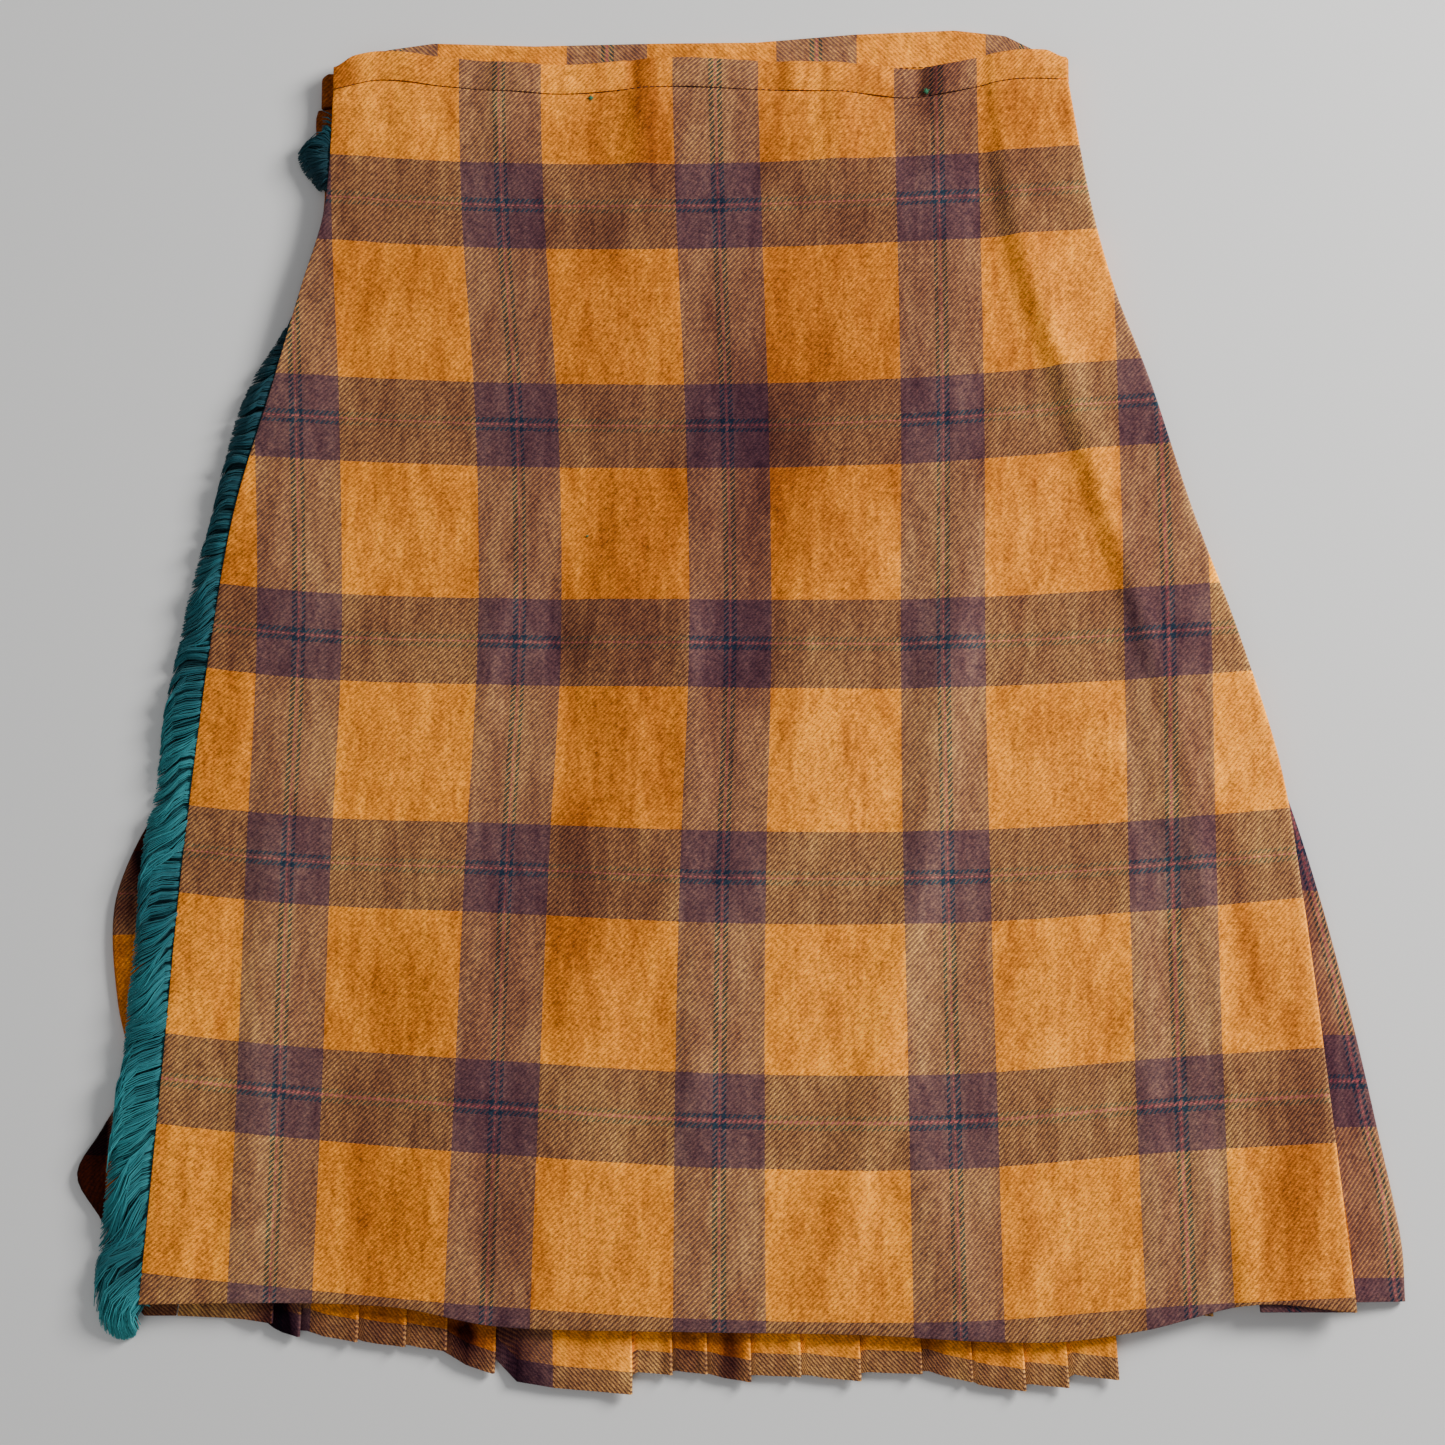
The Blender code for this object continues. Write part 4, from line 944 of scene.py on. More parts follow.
def pleatRow(narrowing):
    # one row of the back as (across, height, pleat, share of the tuck, cloth measure), left to right
    table = pleats["table"]
    last = len(table) - 1
    turnUp = layer / 2
    waists = [mix(pleats["waistLeft"], pleats["waistRight"], i / last) for i in range(len(table))]
    edges = [mix(row[0], waist, narrowing) for row, waist in zip(table, waists)]
    turns = [edges[0] - pleats["tuckDepth"] * (edges[1] - edges[0])]
    before = edges[1] - edges[0]
    for i in range(1, len(edges)):
        width = edges[i] - edges[i - 1]
        clearOfLast = edges[i - 1] + (1 - pleats["tuckDepth"]) * min(before, pleats["wide"])
        turns.append(max(edges[i] - pleats["tuckDepth"] * width, clearOfLast))
        before = width
    midUp, topUp = floorUp + layer, floorUp + 2 * layer
    path = []
    lead = edges[0] - turns[0]
    path.append((turns[0] - 1.1 * lead, floorUp, 0, 1.0, -table[0][3] + 2.1 * lead))
    path.append((turns[0] - 0.2 * lead, topUp, 0, 0.8, -table[0][3] + 1.2 * lead))
    for i, (edge, turn) in enumerate(zip(edges, turns)):
        span = edge - turn if i == last else turns[i + 1] - turn
        rampStop = span * pleats["rampEnd"]
        rampStart = rampStop - min(span * pleats["rampShare"], pleats["rampMost"])
        climb = 0.0
        if i < last:
            climb = 2 * layer * min(max((edge - turn - rampStart) / (rampStop - rampStart), 0.0), 1.0)
        base = -0.1 * i
        folded = base - table[i][3]
        for angle in (90, 50, 15, -15, -50, -90):
            bend = math.radians(angle)
            path.append((
                edge + turnUp * math.cos(bend),
                topUp + climb - turnUp + turnUp * math.sin(bend),
                i, 0.05 * (90 - angle) / 180, folded - 0.0011 * (90 - angle) / 180,
            ))
        outer = base - pleats["outerMeasure"]
        bendAt = turn + min(rampStart, (edge - turn) * 0.8)
        share = (edge - bendAt) / (edge - turn)
        path.append((bendAt, midUp, i, 0.5, mix(folded - 0.0012, outer + 0.0011, share)))
        for angle in (90, 135, 165, 195, 225, 270):
            bend = math.radians(angle)
            path.append((
                turn + turnUp * math.cos(bend),
                floorUp + turnUp + turnUp * math.sin(bend),
                i, 1.0, outer + 0.0011 * (270 - angle) / 180,
            ))
        flat = span * 0.15 if i == last else rampStart
        path.append((turn + flat * 0.5, floorUp, i, 0.8, outer - flat * 0.5))
        path.append((turn + flat, floorUp, i, 0.6, outer - flat))
        if i < last:
            nextFold = base - 0.1 - table[i + 1][3]
            begins = turn + rampStop
            opened = mix(turns[i + 1], edges[i + 1], 0.3)
            path.append((begins, topUp, i + 1, 0.8, nextFold + edges[i + 1] - begins))
            for share in (0.0, 0.35, 0.7):
                across = mix(opened, edges[i + 1], share)
                path.append((across, topUp, i + 1, 0.4 * (1 - share), nextFold + edges[i + 1] - across))
    return path


def buildPleatedBack():
    rises = np.linspace(0, 1, pleats["rows"])
    rises = rises - 0.02 * np.sin(rises * math.pi)
    paths = [np.array(pleatRow(float(curveThrough(pleats["flares"], rise)))) for rise in rises]
    table = np.array(pleats["table"])
    inside = np.stack(paths)
    rise = rises[:, None]
    index = inside[:, :, 2].astype(int)
    hemUp = table[index, 1] + table[index, 2] * inside[:, :, 3]
    waistAcross = inside[-1:, :, 0] * np.ones_like(rise)
    across, height, u = inside[:, :, 0], inside[:, :, 1], inside[:, :, 4]
    waistUp = bandTop(waistAcross) - band["insideHeight"] - 2 * cloth["seam"]
    up = mix(hemUp, waistUp, rise)
    v = -0.6 + twillLook["halfBand"] - pleats["hemBand"] + (up - hemUp)
    leftWaist = bandTop(np.array(under["joinWaist"][0])) - band["insideHeight"] - 2 * cloth["seam"]
    leftUp = mix(under["floorHem"], leftWaist, rise)
    leftAcross = lineAcross(under["joinHem"], under["joinWaist"], leftUp) + cloth["seam"]
    rightWaist = bandTop(np.array(side["joinWaist"][0])) - band["insideHeight"] - 2 * cloth["seam"]
    rightUp = mix(hemUp[:, -1:], rightWaist, rise)
    rightAcross = lineAcross(side["joinHem"], side["joinWaist"], rightUp) - cloth["seam"]
    u = np.hstack([u[:, :1] + (across[:, :1] - leftAcross), u, u[:, -1:] - (rightAcross - across[:, -1:])])
    v = np.hstack([v[:, :1], v, v[:, -1:]])
    across = np.hstack([leftAcross, across, rightAcross])
    up = np.hstack([leftUp, up, rightUp])
    height = np.hstack([np.full_like(leftUp, floorUp), height, np.full_like(leftUp, floorUp)])
    shade = softLines(pleats["shade"], across, up)
    shade[:, 1:-1] += pleats["foldShine"] * (inside[:, :, 3] < pleats["shineShare"]) * (inside[:, :, 3] > 0.0)
    piece = sheetPiece("pleatedBack", across, up, height, u, v, cloth["wall"], shade)
    worn(piece, backTwill, "pleated_back")
    return piece


# Waistband: over the front, round the right side, along the back and round the left to inside
band = dict(
    wall=0.0016,
    height=0.0140,
    insideHeight=0.0190,
    back=(  # across, top edge
        (-0.190, 0.2995), (-0.184, 0.3115), (-0.161, 0.3248), (-0.138, 0.3282), (-0.090, 0.3268),
        (-0.032, 0.3282), (0.016, 0.3287), (0.063, 0.3327), (0.111, 0.3347), (0.135, 0.3320),
        (0.149, 0.3250), (0.158, 0.3170),
    ),
    underUp=0.0067,
    underRight=0.120,
    underTop=0.3110,
    underWaist=0.2950,
    round=0.010,
    roundDrop=0.0035,
    leftIn=0.003,
    rollIn=0.0010,
    rollShare=0.25,
    backBands=-0.0552,    # middle of a brown band on the inside of the back
    plump=0.0005,
    sideShade=0.70,
    rows=9,
    shade=(
        (((-0.040, 0.290), (-0.038, 0.332)), -0.50, 0.007),
        (((0.024, 0.290), (0.025, 0.330)), -0.34, 0.008),
        (((0.094, 0.290), (0.108, 0.332)), -0.66, 0.014),
        (((-0.008, 0.290), (-0.006, 0.332)), 0.16, 0.010),
        (((-0.176, 0.290), (-0.186, 0.326)), -0.45, 0.008),
        (((-0.112, 0.290), (-0.112, 0.332)), -0.18, 0.006),
        (((0.064, 0.290), (0.066, 0.332)), -0.18, 0.007),
    ),
    puckers=(  # across, rise, spread to the left, spread to the right
        (-0.1480, 0.0006, 0.010, 0.008), (-0.1130, -0.0007, 0.006, 0.004), (-0.0930, 0.0005, 0.006, 0.006),
        (-0.0620, 0.0005, 0.006, 0.012), (-0.0440, -0.0016, 0.0016, 0.012), (-0.0150, 0.0006, 0.008, 0.008),
        (0.0170, -0.0010, 0.003, 0.010), (0.0330, 0.0008, 0.003, 0.010), (0.0590, -0.0006, 0.006, 0.005),
        (0.0730, 0.0006, 0.006, 0.008), (0.0935, -0.0016, 0.004, 0.003), (0.1040, 0.0008, 0.004, 0.012),
        (0.1290, -0.0004, 0.006, 0.006),
    ),
)


def bandTop(across):
    return np.interp(across, [row[0] for row in band["back"]], [row[1] for row in band["back"]])


def backSeam(top):
    return np.maximum(top - band["insideHeight"], band["underWaist"])


def puckerRise(across):
    total = np.zeros_like(across)
    for at, rise, left, right in band["puckers"]:
        spread = np.where(across < at, left, right)
        total += rise * np.exp(-(((across - at) / spread) ** 2))
    return total


def buildWaistband():
    floorBand = band["wall"] / 2
    share = np.linspace(0, 1, 200)
    across, seam = apronPlace(share, np.ones_like(share))
    height = apronHeight(across, seam)
    nearEnd = np.minimum(across - across[0], across[-1] - across)
    short = band["roundDrop"] * (1 - ease(nearEnd / band["round"]))
    low = seam + cloth["seam"]
    top = low + band["height"] - short
    pucker = puckerRise(across) * ease(nearEnd / 0.012)
    u, _ = checkMeasure(across, seam)
    columns = [np.stack([across, height, low, top, u, pucker], 1)]
    turn = (height[-1] - floorBand) / 2
    rightTop = band["back"][-1][1]
    swing = turn * band["rollShare"] + band["rollIn"]
    backU = band["backBands"] + 0.6
    for angle in np.linspace(60, -90, 11):
        bend = math.radians(angle)
        share = max(-angle / 90, 0)
        x = across[-1] - band["rollIn"] + swing * math.cos(bend)
        columns.append(np.array([[
            x, floorBand + turn * (1 + math.sin(bend)),
            mix(low[-1], rightTop - band["insideHeight"], share), mix(top[-1], rightTop, share),
            mix(u[-1], backU - x, (60 - angle) / 150), 0.0,
        ]]))
    left = band["back"][0][0] + band["leftIn"]
    backAcross = np.linspace(band["back"][-2][0], left, 150)
    backTop = bandTop(backAcross)
    columns.append(np.stack([
        backAcross, np.full_like(backAcross, floorBand), backSeam(backTop), backTop,
        backU - backAcross, np.zeros_like(backAcross),
    ], 1))
    innerTurn = (band["underUp"] - floorBand) / 2
    leftTop = float(bandTop(left))
    for angle in np.linspace(-75, 90, 12):
        bend = math.radians(angle)
        share = (angle + 90) / 180
        columns.append(np.array([[
            left - innerTurn * math.cos(bend), floorBand + innerTurn * (1 + math.sin(bend)),
            mix(backSeam(leftTop), band["underWaist"], share),
            mix(leftTop, band["underTop"], share), backU - left + 0.009 * share, 0.0,
        ]]))
    inAcross = np.linspace(left, band["underRight"], 60)[1:]
    columns.append(np.stack([
        inAcross, np.full_like(inAcross, band["underUp"]), np.full_like(inAcross, band["underWaist"]),
        np.full_like(inAcross, band["underTop"]), backU - left + 0.009 + (inAcross - left),
        np.zeros_like(inAcross),
    ], 1))
    path = np.vstack(columns)
    rise = np.linspace(0, 1, band["rows"])[:, None]
    across = path[:, 0][None, :] * np.ones_like(rise)
    up = mix(path[:, 2][None, :], path[:, 3][None, :], rise)
    crown = band["plump"] * (1 - (2 * rise - 1) ** 2)
    height = path[:, 1][None, :] + (crown + path[:, 5][None, :]) * (path[:, 1][None, :] > 0.0085)
    v = -0.05 + (up - path[:, 2][None, :])
    onTop = path[:, 1][None, :] > 0.0085
    shade = softLines(band["shade"], across, up) * onTop
    shade = shade - band["sideShade"] * ease((-0.176 - across) / 0.008) * (1 - onTop)
    u = path[:, 4][None, :] * np.ones_like(rise)
    piece = sheetPiece("kiltBand", across, up, height, u, v, band["wall"], shade)
    worn(piece, bandTwill, "waistband")
    return piece


waistband = buildWaistband()
sidePleat = buildSidePleat()
underApron = buildUnderApron()
pleatedBack = buildPleatedBack()
print("kilt: side pleat, under apron, pleats and waistband laid")

# Fringe: a brush of fine wool ends along the open left edge of the front apron
fringe = dict(
    outline=(  # up, how far out the brush comes
        (-0.2798, -0.2680), (-0.2785, -0.2745), (-0.2750, -0.2790), (-0.2700, -0.2822), (-0.2640, -0.2838),
        (-0.2446, -0.2836), (-0.2242, -0.2806), (-0.2018, -0.2785), (-0.1650, -0.2753), (-0.1469, -0.2727),
        (-0.1242, -0.2713), (-0.0919, -0.2682), (-0.0690, -0.2676), (-0.0510, -0.2658), (-0.0261, -0.2616),
        (0.0027, -0.2592), (0.0209, -0.2563), (0.0391, -0.2525), (0.0579, -0.2493), (0.0749, -0.2453),
        (0.0919, -0.2406), (0.1108, -0.2364), (0.1265, -0.2329), (0.1442, -0.2286), (0.1614, -0.2222),
        (0.1763, -0.2140), (0.1880, -0.2060), (0.1980, -0.1985), (0.2080, -0.1955), (0.2540, -0.1850),
        (0.2555, -0.1912), (0.2591, -0.1945), (0.2640, -0.1985), (0.2690, -0.2010), (0.2738, -0.2015),
        (0.2775, -0.1990), (0.2800, -0.1950), (0.2812, -0.1900),
    ),
    slants=(  # up, degrees below level
        (-0.260, 100), (-0.257, 82), (-0.252, 66), (-0.242, 55), (-0.220, 47), (-0.180, 40), (-0.110, 32),
        (-0.020, 27), (0.060, 22), (0.120, 12), (0.185, 4), (0.254, 40), (0.262, 20), (0.270, 0),
        (0.276, -22), (0.280, -40),
    ),
    insets=((-0.262, 0.0030), (0.150, 0.0035), (0.180, 0.0080), (0.250, 0.0080), (0.262, 0.0035), (0.282, 0.0035)),
    underHem=(  # up, across: the right side of the end that hangs past the hem
        (-0.2800, -0.2715), (-0.2785, -0.2665), (-0.2760, -0.2638), (-0.2720, -0.2622), (-0.2660, -0.2624),
        (-0.2590, -0.2560),
    ),
    dims=(  # up, how light the wool is painted there: painted light and shade, darkest towards the waist and on the tuft
        (-0.278, 1.30), (-0.268, 1.15), (-0.243, 0.72), (-0.211, 0.95), (-0.179, 1.00), (-0.147, 0.80),
        (-0.115, 0.80), (-0.084, 0.56), (-0.052, 0.85), (-0.020, 1.00), (0.013, 0.60), (0.045, 0.46),
        (0.078, 0.46), (0.111, 0.27), (0.143, 0.22), (0.180, 0.16), (0.245, 0.10), (0.262, 0.12), (0.280, 0.24),
    ),
    bottom=-0.2600,
    top=0.2790,
    strands=6000,
    fillShare=0.46,       # short ends that fill the gaps between the locks, painted dark as shade
    endShare=0.095,       # ends that fan round the bottom
    endSpread=0.010,
    ballShare=0.060,      # ends of the small tuft by the waist
    ballFrom=0.257,
    lockEvery=0.0042,
    lockStray=0.12,
    lockWide=0.6,
    lockRound=0.80,
    lockGather=0.36,      # how far the ends of a lock come together
    habits=400,
    endHabits=16,
    fillCrown=0.16,
    shaken=(6, 3, 16, 6),     # degrees, of the fills, locks, tuft and bottom ends
    lockLean=9,
    endLean=26,
    steepest=(-75, 104),
    shortest=0.004,
    longest=0.044,
    longestAtTop=0.024,
    topFrom=0.2,
    thick=0.00031,
    segments=6,
    rootUp=0.0080,
    loft=0.0052,
    tipLift=0.0020,
    highest=0.0139,
    curl=30,
    wave=20,
    stripWidth=0.0024,
    stripWall=0.0014,
    bedReach=0.66,        # how far the dense wool under the locks reaches
    bedRise=0.0013,
)


def brushOut(up):
    return curveThrough(fringe["outline"], up)


def groundUnder(across, up):
    inside = across - rollLeft(up)
    climbed = np.clip(inside / sideClimb(up), 0.0, 1.0)
    over = mix(floorUp + 2 * under["turn"], under["up"], climbed) + cloth["wall"] / 2
    return np.where(inside < -0.002, 0.0, over)


def strandLines(chance):
    # the middle line of every strand, and how light it is painted: lit on the crowns of the locks, shaded in the
    # fills between them, partly at random
    count, segments, every = fringe["strands"], fringe["segments"], fringe["lockEvery"]
    bottom, top = fringe["bottom"], fringe["top"]
    up = chance.uniform(bottom, top, count)
    kind = chance.uniform(0, 1, count)
    atEnd = kind < fringe["endShare"]
    up[atEnd] = bottom + fringe["endSpread"] * chance.uniform(0, 1, atEnd.sum()) ** 1.5
    atBall = kind > 1 - fringe["ballShare"]
    up[atBall] = chance.uniform(fringe["ballFrom"], top, atBall.sum())
    lock = np.floor(up / every + fringe["lockStray"] * chance.normal(0, 1, count)).astype(int)
    habitOf = np.where(atEnd, chance.integers(0, fringe["endHabits"], count), lock % fringe["habits"])
    habit = chance.uniform(0, 1, (fringe["habits"], 5))[habitOf]    # every lock bends its own way
    middleUp = (lock + 0.3 + 0.4 * habit[:, 4]) * every
    inLock = np.clip(np.abs(up - middleUp) / (fringe["lockWide"] * every), 0, 1)
    fills = chance.uniform(0, 1, count) < fringe["fillShare"]
    onLock = (1 - fringe["lockRound"] * inLock ** 2) * (0.55 + 0.45 * habit[:, 0])
    crown = np.where(fills, fringe["fillCrown"] * chance.uniform(0, 1, count), onLock)
    crown = np.clip(crown * (0.80 + 0.35 * chance.uniform(0, 1, count)), 0, 1)
    drift = 7 * np.sin(up * 118 + 0.8) + 5 * np.sin(up * 263 + 2.0)      # neighbours lean much the same
    slant = curveThrough(fringe["slants"], up) + drift * (up > bottom + 0.02)
    fillShaken, lockShaken, ballShaken, endShaken = [
        degrees * chance.normal(0, 1, count) for degrees in fringe["shaken"]
    ]
    slant = slant + np.where(fills, fillShaken, fringe["lockLean"] * (habit[:, 1] - 0.5) + lockShaken)
    endSlant = np.where(atEnd, fringe["endLean"] * (habit[:, 3] - 0.6) + endShaken, 0)
    slant = np.clip(slant + np.where(atBall, ballShaken, endSlant), *fringe["steepest"])
    along = np.linspace(0, 1, segments)[None, :]
    phase = 2.2 * np.sin(up * 71) + 1.4 * (habit[:, 2] - 0.5)
    swing = fringe["curl"] * (along ** 1.3 - 0.45) + fringe["wave"] * np.sin(along * 6.2 + phase[:, None])
    angle = np.radians(slant[:, None] + swing)
    step = 1.0 / (segments - 1)
    out = np.concatenate([np.zeros((count, 1)), np.cumsum(step * np.cos(angle[:, 1:]), 1)], 1)
    down = np.concatenate([np.zeros((count, 1)), np.cumsum(step * np.sin(angle[:, 1:]), 1)], 1)
    gather = ((middleUp - up) * np.where(fills, 0.0, fringe["lockGather"]))[:, None]
    gather = gather * np.sin(np.clip(along * 1.25, 0, 1) * math.pi / 2)
    root = apronLeft(up) + curveThrough(fringe["insets"], up)

    def laid(long):
        return root[:, None] - out * long[:, None], up[:, None] - down * long[:, None] + gather

    # as long as fits inside the brush's outline
    short = np.full(count, fringe["shortest"])
    long = np.where(up > fringe["topFrom"], fringe["longestAtTop"], fringe["longest"])
    for _ in range(12):
        trial = (short + long) / 2
        tipAcross, tipUp = [values[:, -1] for values in laid(trial)]
        fits = (tipAcross > brushOut(tipUp)) & (tipUp > fringe["outline"][0][0])
        fits &= (tipAcross < curveThrough(fringe["underHem"], tipUp)) | (tipUp > fringe["underHem"][-1][0])
        short, long = np.where(fits, trial, short), np.where(fits, long, trial)
    length = short * (0.965 + 0.055 * chance.uniform(0, 1, count)) * np.where(fills, 0.94, 1.0)
    across, ups = laid(length)
    ground = groundUnder(across, ups) + fringe["thick"]
    rise = np.sin(np.clip(along * 1.06, 0, 1) * math.pi) ** 0.6
    height = mix(fringe["rootUp"], ground[:, -1:] + fringe["tipLift"] * crown[:, None], along ** 1.8)
    height = height + fringe["loft"] * crown[:, None] * rise
    inside = across > apronLeft(ups) - 0.0010
    roof = np.where(inside, apron["edgeUp"] - cloth["wall"] / 2 - fringe["thick"] - 0.0001, fringe["highest"])
    height = np.minimum(np.maximum(height, ground), roof)
    light = np.where(fills, 0.12, 0.30 + 0.42 * crown + 0.18 * habit[:, 3]) + 0.20 * chance.uniform(0, 1, count)
    return np.stack([across, ups, height], 2), np.clip(light, 0, 1)


def stripCorners(bottom, top, rows):
    # the turned edge that the strands grow from, and the dense wool it carries under the locks
    up = np.linspace(bottom, top, rows)
    outer = apronLeft(up) + curveThrough(fringe["insets"], up)
    bed = np.minimum(mix(apronLeft(up), brushOut(up), fringe["bedReach"]), outer - 0.0006)
    low, high = fringe["rootUp"] - fringe["stripWall"] / 2, fringe["rootUp"] + fringe["stripWall"] / 2
    under = np.minimum(groundUnder(bed, up) + 0.0002, low)
    wide = outer + fringe["stripWidth"]
    rings = [(outer, low), (wide, low), (wide, high), (outer, high), (bed, under + fringe["bedRise"]), (bed, under)]
    return np.stack([np.stack([x, up, z * np.ones_like(up)], 1) for x, z in rings], 1)


def tubeFaces(number):
    # walls and end caps of tubes; number holds each tube's rings of point numbers
    near, far = number[:, :-1], number[:, 1:]
    walls = np.stack([near, np.roll(near, -1, 2), np.roll(far, -1, 2), far], 3).reshape(-1, 4)
    return walls.tolist() + number[:, 0, ::-1].tolist() + number[:, -1, :].tolist()


def ringsAround(line, thick, sides):
    way = np.gradient(line, axis=1)
    way /= np.linalg.norm(way, axis=2, keepdims=True)
    sideways = np.cross(way, np.array([0, 0, 1.0]))
    sideways /= np.maximum(np.linalg.norm(sideways, axis=2, keepdims=True), 1e-6)
    upward = np.cross(sideways, way)
    rings = []
    for corner in range(sides):
        turn = 2 * math.pi * corner / sides + math.pi / 2
        rings.append(line + thick[:, :, None] * (math.cos(turn) * sideways + math.sin(turn) * upward))
    return np.stack(rings, 2)


def joinedPiece(name, points, faces):
    mesh = bpy.data.meshes.new(name)
    mesh.from_pydata((points - middle).tolist(), [], faces)
    mesh.update()
    piece = bpy.data.objects.new(name, mesh)
    bpy.context.scene.collection.objects.link(piece)
    bpy.ops.object.select_all(action="DESELECT")
    piece.select_set(True)
    bpy.context.view_layer.objects.active = piece
    bpy.ops.object.mode_set(mode="EDIT")
    bpy.ops.mesh.select_all(action="SELECT")
    bpy.ops.mesh.normals_make_consistent(inside=False)
    bpy.ops.object.mode_set(mode="OBJECT")
    bpy.ops.object.shade_smooth()
    piece.select_set(False)
    return piece


def buildFringe():
    chance = np.random.default_rng(7)
    count, segments, sides = fringe["strands"], fringe["segments"], 3
    line, light = strandLines(chance)
    taper = np.interp(np.linspace(0, 1, segments), (0, 0.5, 0.85, 1), (1.0, 1.2, 1.0, 0.55))
    thick = fringe["thick"] * (0.8 + 0.4 * chance.uniform(0, 1, count))[:, None] * taper[None, :]
    points = ringsAround(line, thick, sides).reshape(-1, 3)
    faces = tubeFaces(np.arange(len(points)).reshape(count, segments, sides))
    paired = chance.uniform(0.85, 1.15, count)
    strip = stripCorners(fringe["bottom"], fringe["top"], 120)
    stripNumber = (len(points) + np.arange(strip.shape[0] * 6)).reshape(1, -1, 6)
    # the strip and the wool bed under the locks are painted dark, as shade deep in the brush
    tone = np.concatenate([np.repeat(light, segments * sides), np.full(strip.shape[0] * 6, 0.1)])
    depth = np.tile(np.repeat(np.linspace(0, 1, segments), sides), count)
    depth = np.concatenate([depth, np.zeros(strip.shape[0] * 6)])
    piece = joinedPiece(
        "fringeWool", np.vstack([points, strip.reshape(-1, 3)]), faces + tubeFaces(stripNumber)
    )
    dim = curveThrough(fringe["dims"], np.concatenate([points[:, 1], strip[:, :, 1].ravel()]))
    dim[:len(points)] *= np.repeat(paired, segments * sides)
    for label, values in (("strandTone", tone), ("alongStrand", depth), ("strandDim", dim)):
        attribute = piece.data.attributes.new(label, "FLOAT", "POINT")
        attribute.data.foreach_set("value", values)
    worn(piece, woolMaterial(), "apron_fringe")
    return piece


woolLook = dict(
    # the wool's colour in painted shade and in full light; the strand tone and the roots choose between them
    dark=(0.001, 0.022, 0.034, 1),
    light=(0.050, 0.450, 0.480, 1),
    root=0.45,            # how much light the roots keep
    dimPowers=(1.2, 1.0, 0.85),     # how fast red, green and blue follow the dims
    sheen=0.06,
    sheenTint=(0.35, 0.85, 0.85, 1),
)


def woolMaterial():
    made = bpy.data.materials.new("fringeWool")
    made.use_nodes = True
    tree = made.node_tree
    shader = tree.nodes["Principled BSDF"]
    tone = tree.nodes.new("ShaderNodeAttribute")
    tone.attribute_name = "strandTone"
    along = tree.nodes.new("ShaderNodeAttribute")
    along.attribute_name = "alongStrand"
    place = tree.nodes.new("ShaderNodeTexCoord")
    fleck = noiseOf(tree, place.outputs["Object"], 900.0, 3.0, 0.6)
    share = sums(tree, "MULTIPLY_ADD", tone.outputs["Fac"], 0.75, sums(tree, "MULTIPLY", fleck, 0.25))
    fromRoot = sums(tree, "MULTIPLY_ADD", along.outputs["Fac"], 1 - woolLook["root"], woolLook["root"])
    share = sums(tree, "MULTIPLY", share, fromRoot)
    dim = tree.nodes.new("ShaderNodeAttribute")
    dim.attribute_name = "strandDim"
    shadow = tree.nodes.new("ShaderNodeCombineColor")
    for socket, power in zip(shadow.inputs, woolLook["dimPowers"]):
        plug(tree, socket, sums(tree, "POWER", dim.outputs["Fac"], power))
    colour = blend(tree, share, woolLook["dark"], woolLook["light"])
    tree.links.new(blend(tree, 1.0, colour, shadow.outputs[0], "MULTIPLY"), shader.inputs["Base Color"])
    shader.inputs["Roughness"].default_value = 0.75
    shader.inputs["Sheen Weight"].default_value = woolLook["sheen"]
    shader.inputs["Sheen Tint"].default_value = woolLook["sheenTint"]
    shader.inputs["Specular IOR Level"].default_value = 0.3
    return made


fringeWool = buildFringe()
print("kilt: fringe brushed")

# Sewing: the line of stitches under the front band, the one inside the back, and three green tacks
sewing = dict(
    long=0.0022,
    every=0.0031,
    thick=0.00022,
    colour=(0.060, 0.012, 0.008, 1),
    backFrom=-0.170,
    backTo=0.146,
    tacks=(  # across, up, number of short ends
        (-0.0623, 0.2983, 5), (0.0966, 0.3017, 6), (-0.0629, 0.0875, 3),
    ),
    tackLong=0.0026,
    tackThick=0.00024,
    tackColour=(0.030, 0.150, 0.070, 1),
)


def plainThread(name, colour):
    made = bpy.data.materials.new(name)
    made.use_nodes = True
    shader = made.node_tree.nodes["Principled BSDF"]
    shader.inputs["Base Color"].default_value = colour
    shader.inputs["Roughness"].default_value = 0.7
    shader.inputs["Specular IOR Level"].default_value = 0.3
    return made


def threadPiece(name, starts, ends, thick, arch):
    # short ends of thread, each from its start to its end, a little higher in the middle
    share = np.linspace(0, 1, 5)[None, :, None]
    line = mix(starts[:, None, :], ends[:, None, :], share)
    line[:, :, 2] += arch * np.sin(share[:, :, 0] * math.pi)
    taper = np.array([0.5, 1.0, 1.1, 1.0, 0.5])[None, :] * thick * np.ones((len(starts), 1))
    points = ringsAround(line, taper, 6)
    number = np.arange(points[:, :, :, 0].size).reshape(points.shape[:3])
    return joinedPiece(name, points.reshape(-1, 3), tubeFaces(number))


def frontSeam():
    share = np.linspace(0, 1, 400)
    across, seam = apronPlace(share, np.ones_like(share))
    height = apronHeight(across, seam)
    length = np.concatenate([[0], np.cumsum(np.hypot(np.diff(across), np.diff(seam)))])
    begin = np.arange(0.002, length[-1] - 0.004, sewing["every"])
    ends = []
    for at in (begin, begin + sewing["long"]):
        ends.append(np.stack([
            np.interp(at, length, across), np.interp(at, length, seam) + cloth["seam"] * 0.5,
            np.interp(at, length, height) + cloth["wall"] * 0.42,
        ], 1))
    return ends


def backSeamLine():
    begin = np.arange(sewing["backFrom"], sewing["backTo"], sewing["every"])
    ends = []
    for at in (begin, begin + sewing["long"]):
        seam = backSeam(bandTop(at)) + 0.0012
        ends.append(np.stack([at, seam, np.full_like(at, band["wall"] + 0.0001)], 1))
    return ends


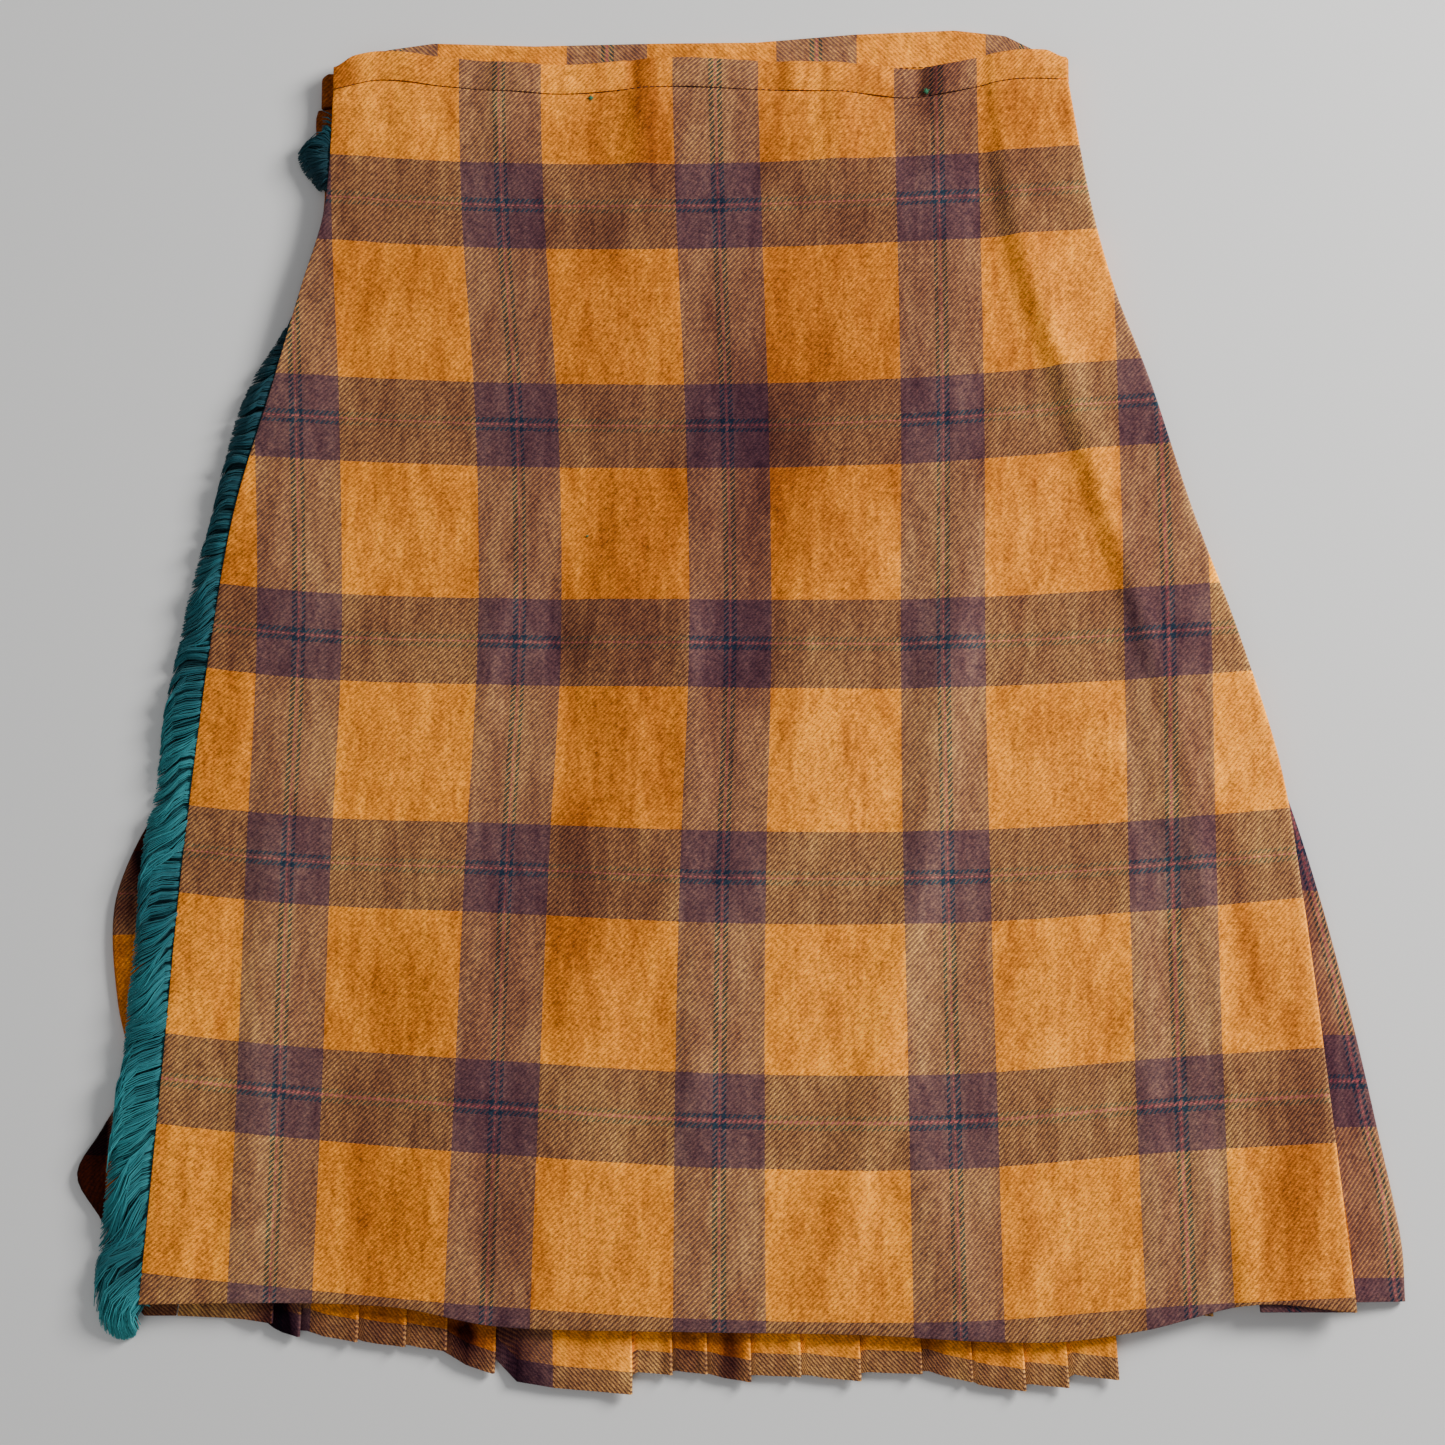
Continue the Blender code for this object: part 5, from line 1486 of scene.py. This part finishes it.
def buildSewing():
    frontStarts, frontEnds = frontSeam()
    backStarts, backEnds = backSeamLine()
    starts, ends = np.vstack([frontStarts, backStarts]), np.vstack([frontEnds, backEnds])
    line = threadPiece("seamThread", starts, ends, sewing["thick"], 0.00018)
    line.data.materials.append(plainThread("darkThread", sewing["colour"]))
    chance = np.random.default_rng(3)
    starts, ends = [], []
    for across, up, count in sewing["tacks"]:
        place = np.array([across, up, 0.0])
        place[2] = float(apronHeight(np.array([across]), np.array([up]))[0]) + cloth["wall"] * 0.55
        long = sewing["tackLong"] * (0.45 if up < 0.2 else 1.0)
        for turn in np.linspace(0.3, math.pi, count):
            reach = long / 2 * (0.6 + 0.8 * chance.uniform())
            way = np.array([math.cos(turn), math.sin(turn), 0.0]) * reach
            lift = np.array([0, 0, 0.0002 + 0.0004 * chance.uniform()])
            starts.append(place - way)
            ends.append(place + way * (0.4 + chance.uniform()) + lift)
    tacks = threadPiece("greenTacks", np.array(starts), np.array(ends), sewing["tackThick"], 0.0003)
    tacks.data.materials.append(plainThread("greenThread", sewing["tackColour"]))
    for piece in (line, tacks):
        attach(piece, "root")
    return line, tacks


seamThread, greenTacks = buildSewing()
print("kilt: seams sewn")

# Floor, light and camera
stage = dict(
    floorSize=6.0,
    floorColour=(0.72, 0.71, 0.69, 1),
    keyPlace=(1.45, 0.80, 1.00),
    keySize=0.7,
    keyPower=62.0,
    fillPlace=(-0.6, -0.9, 1.7),
    fillSize=1.6,
    fillPower=5.0,
    sky=(0.88, 0.90, 0.94, 1),
    skyStrength=0.34,
    cameraTilt=7.0,
    cameraFar=1.3,
    lens=70.4,
    aimUp=0.012,
)


def buildStage():
    bpy.ops.mesh.primitive_plane_add(size=stage["floorSize"], location=(0, 0, -0.0004))
    floor = bpy.context.object
    floor.name = "floor"
    pale = bpy.data.materials.new("paleFloor")
    pale.use_nodes = True
    pale.node_tree.nodes["Principled BSDF"].inputs["Base Color"].default_value = stage["floorColour"]
    pale.node_tree.nodes["Principled BSDF"].inputs["Roughness"].default_value = 0.9
    floor.data.materials.append(pale)
    for name, place, size, power in (
        ("keyLight", stage["keyPlace"], stage["keySize"], stage["keyPower"]),
        ("fillLight", stage["fillPlace"], stage["fillSize"], stage["fillPower"]),
    ):
        bpy.ops.object.light_add(type="AREA", location=place)
        light = bpy.context.object
        light.name = name
        light.data.size = size
        light.data.energy = power
        light.rotation_euler = (-light.location).to_track_quat("-Z", "Y").to_euler()
    world = bpy.context.scene.world or bpy.data.worlds.new("world")
    bpy.context.scene.world = world
    world.use_nodes = True
    world.node_tree.nodes["Background"].inputs["Color"].default_value = stage["sky"]
    world.node_tree.nodes["Background"].inputs["Strength"].default_value = stage["skyStrength"]
    tilt = math.radians(stage["cameraTilt"])
    aim = np.array([0.0, 0.0, stage["aimUp"]]) - middle
    place = aim + stage["cameraFar"] * np.array([0, -math.sin(tilt), math.cos(tilt)])
    bpy.ops.object.camera_add(location=tuple(place), rotation=(tilt, 0, 0))
    camera = bpy.context.object
    camera.data.lens = stage["lens"]
    camera.data.clip_start = 0.05
    camera.data.clip_end = 20
    bpy.context.scene.camera = camera


buildStage()
print("kilt: stage and camera set")
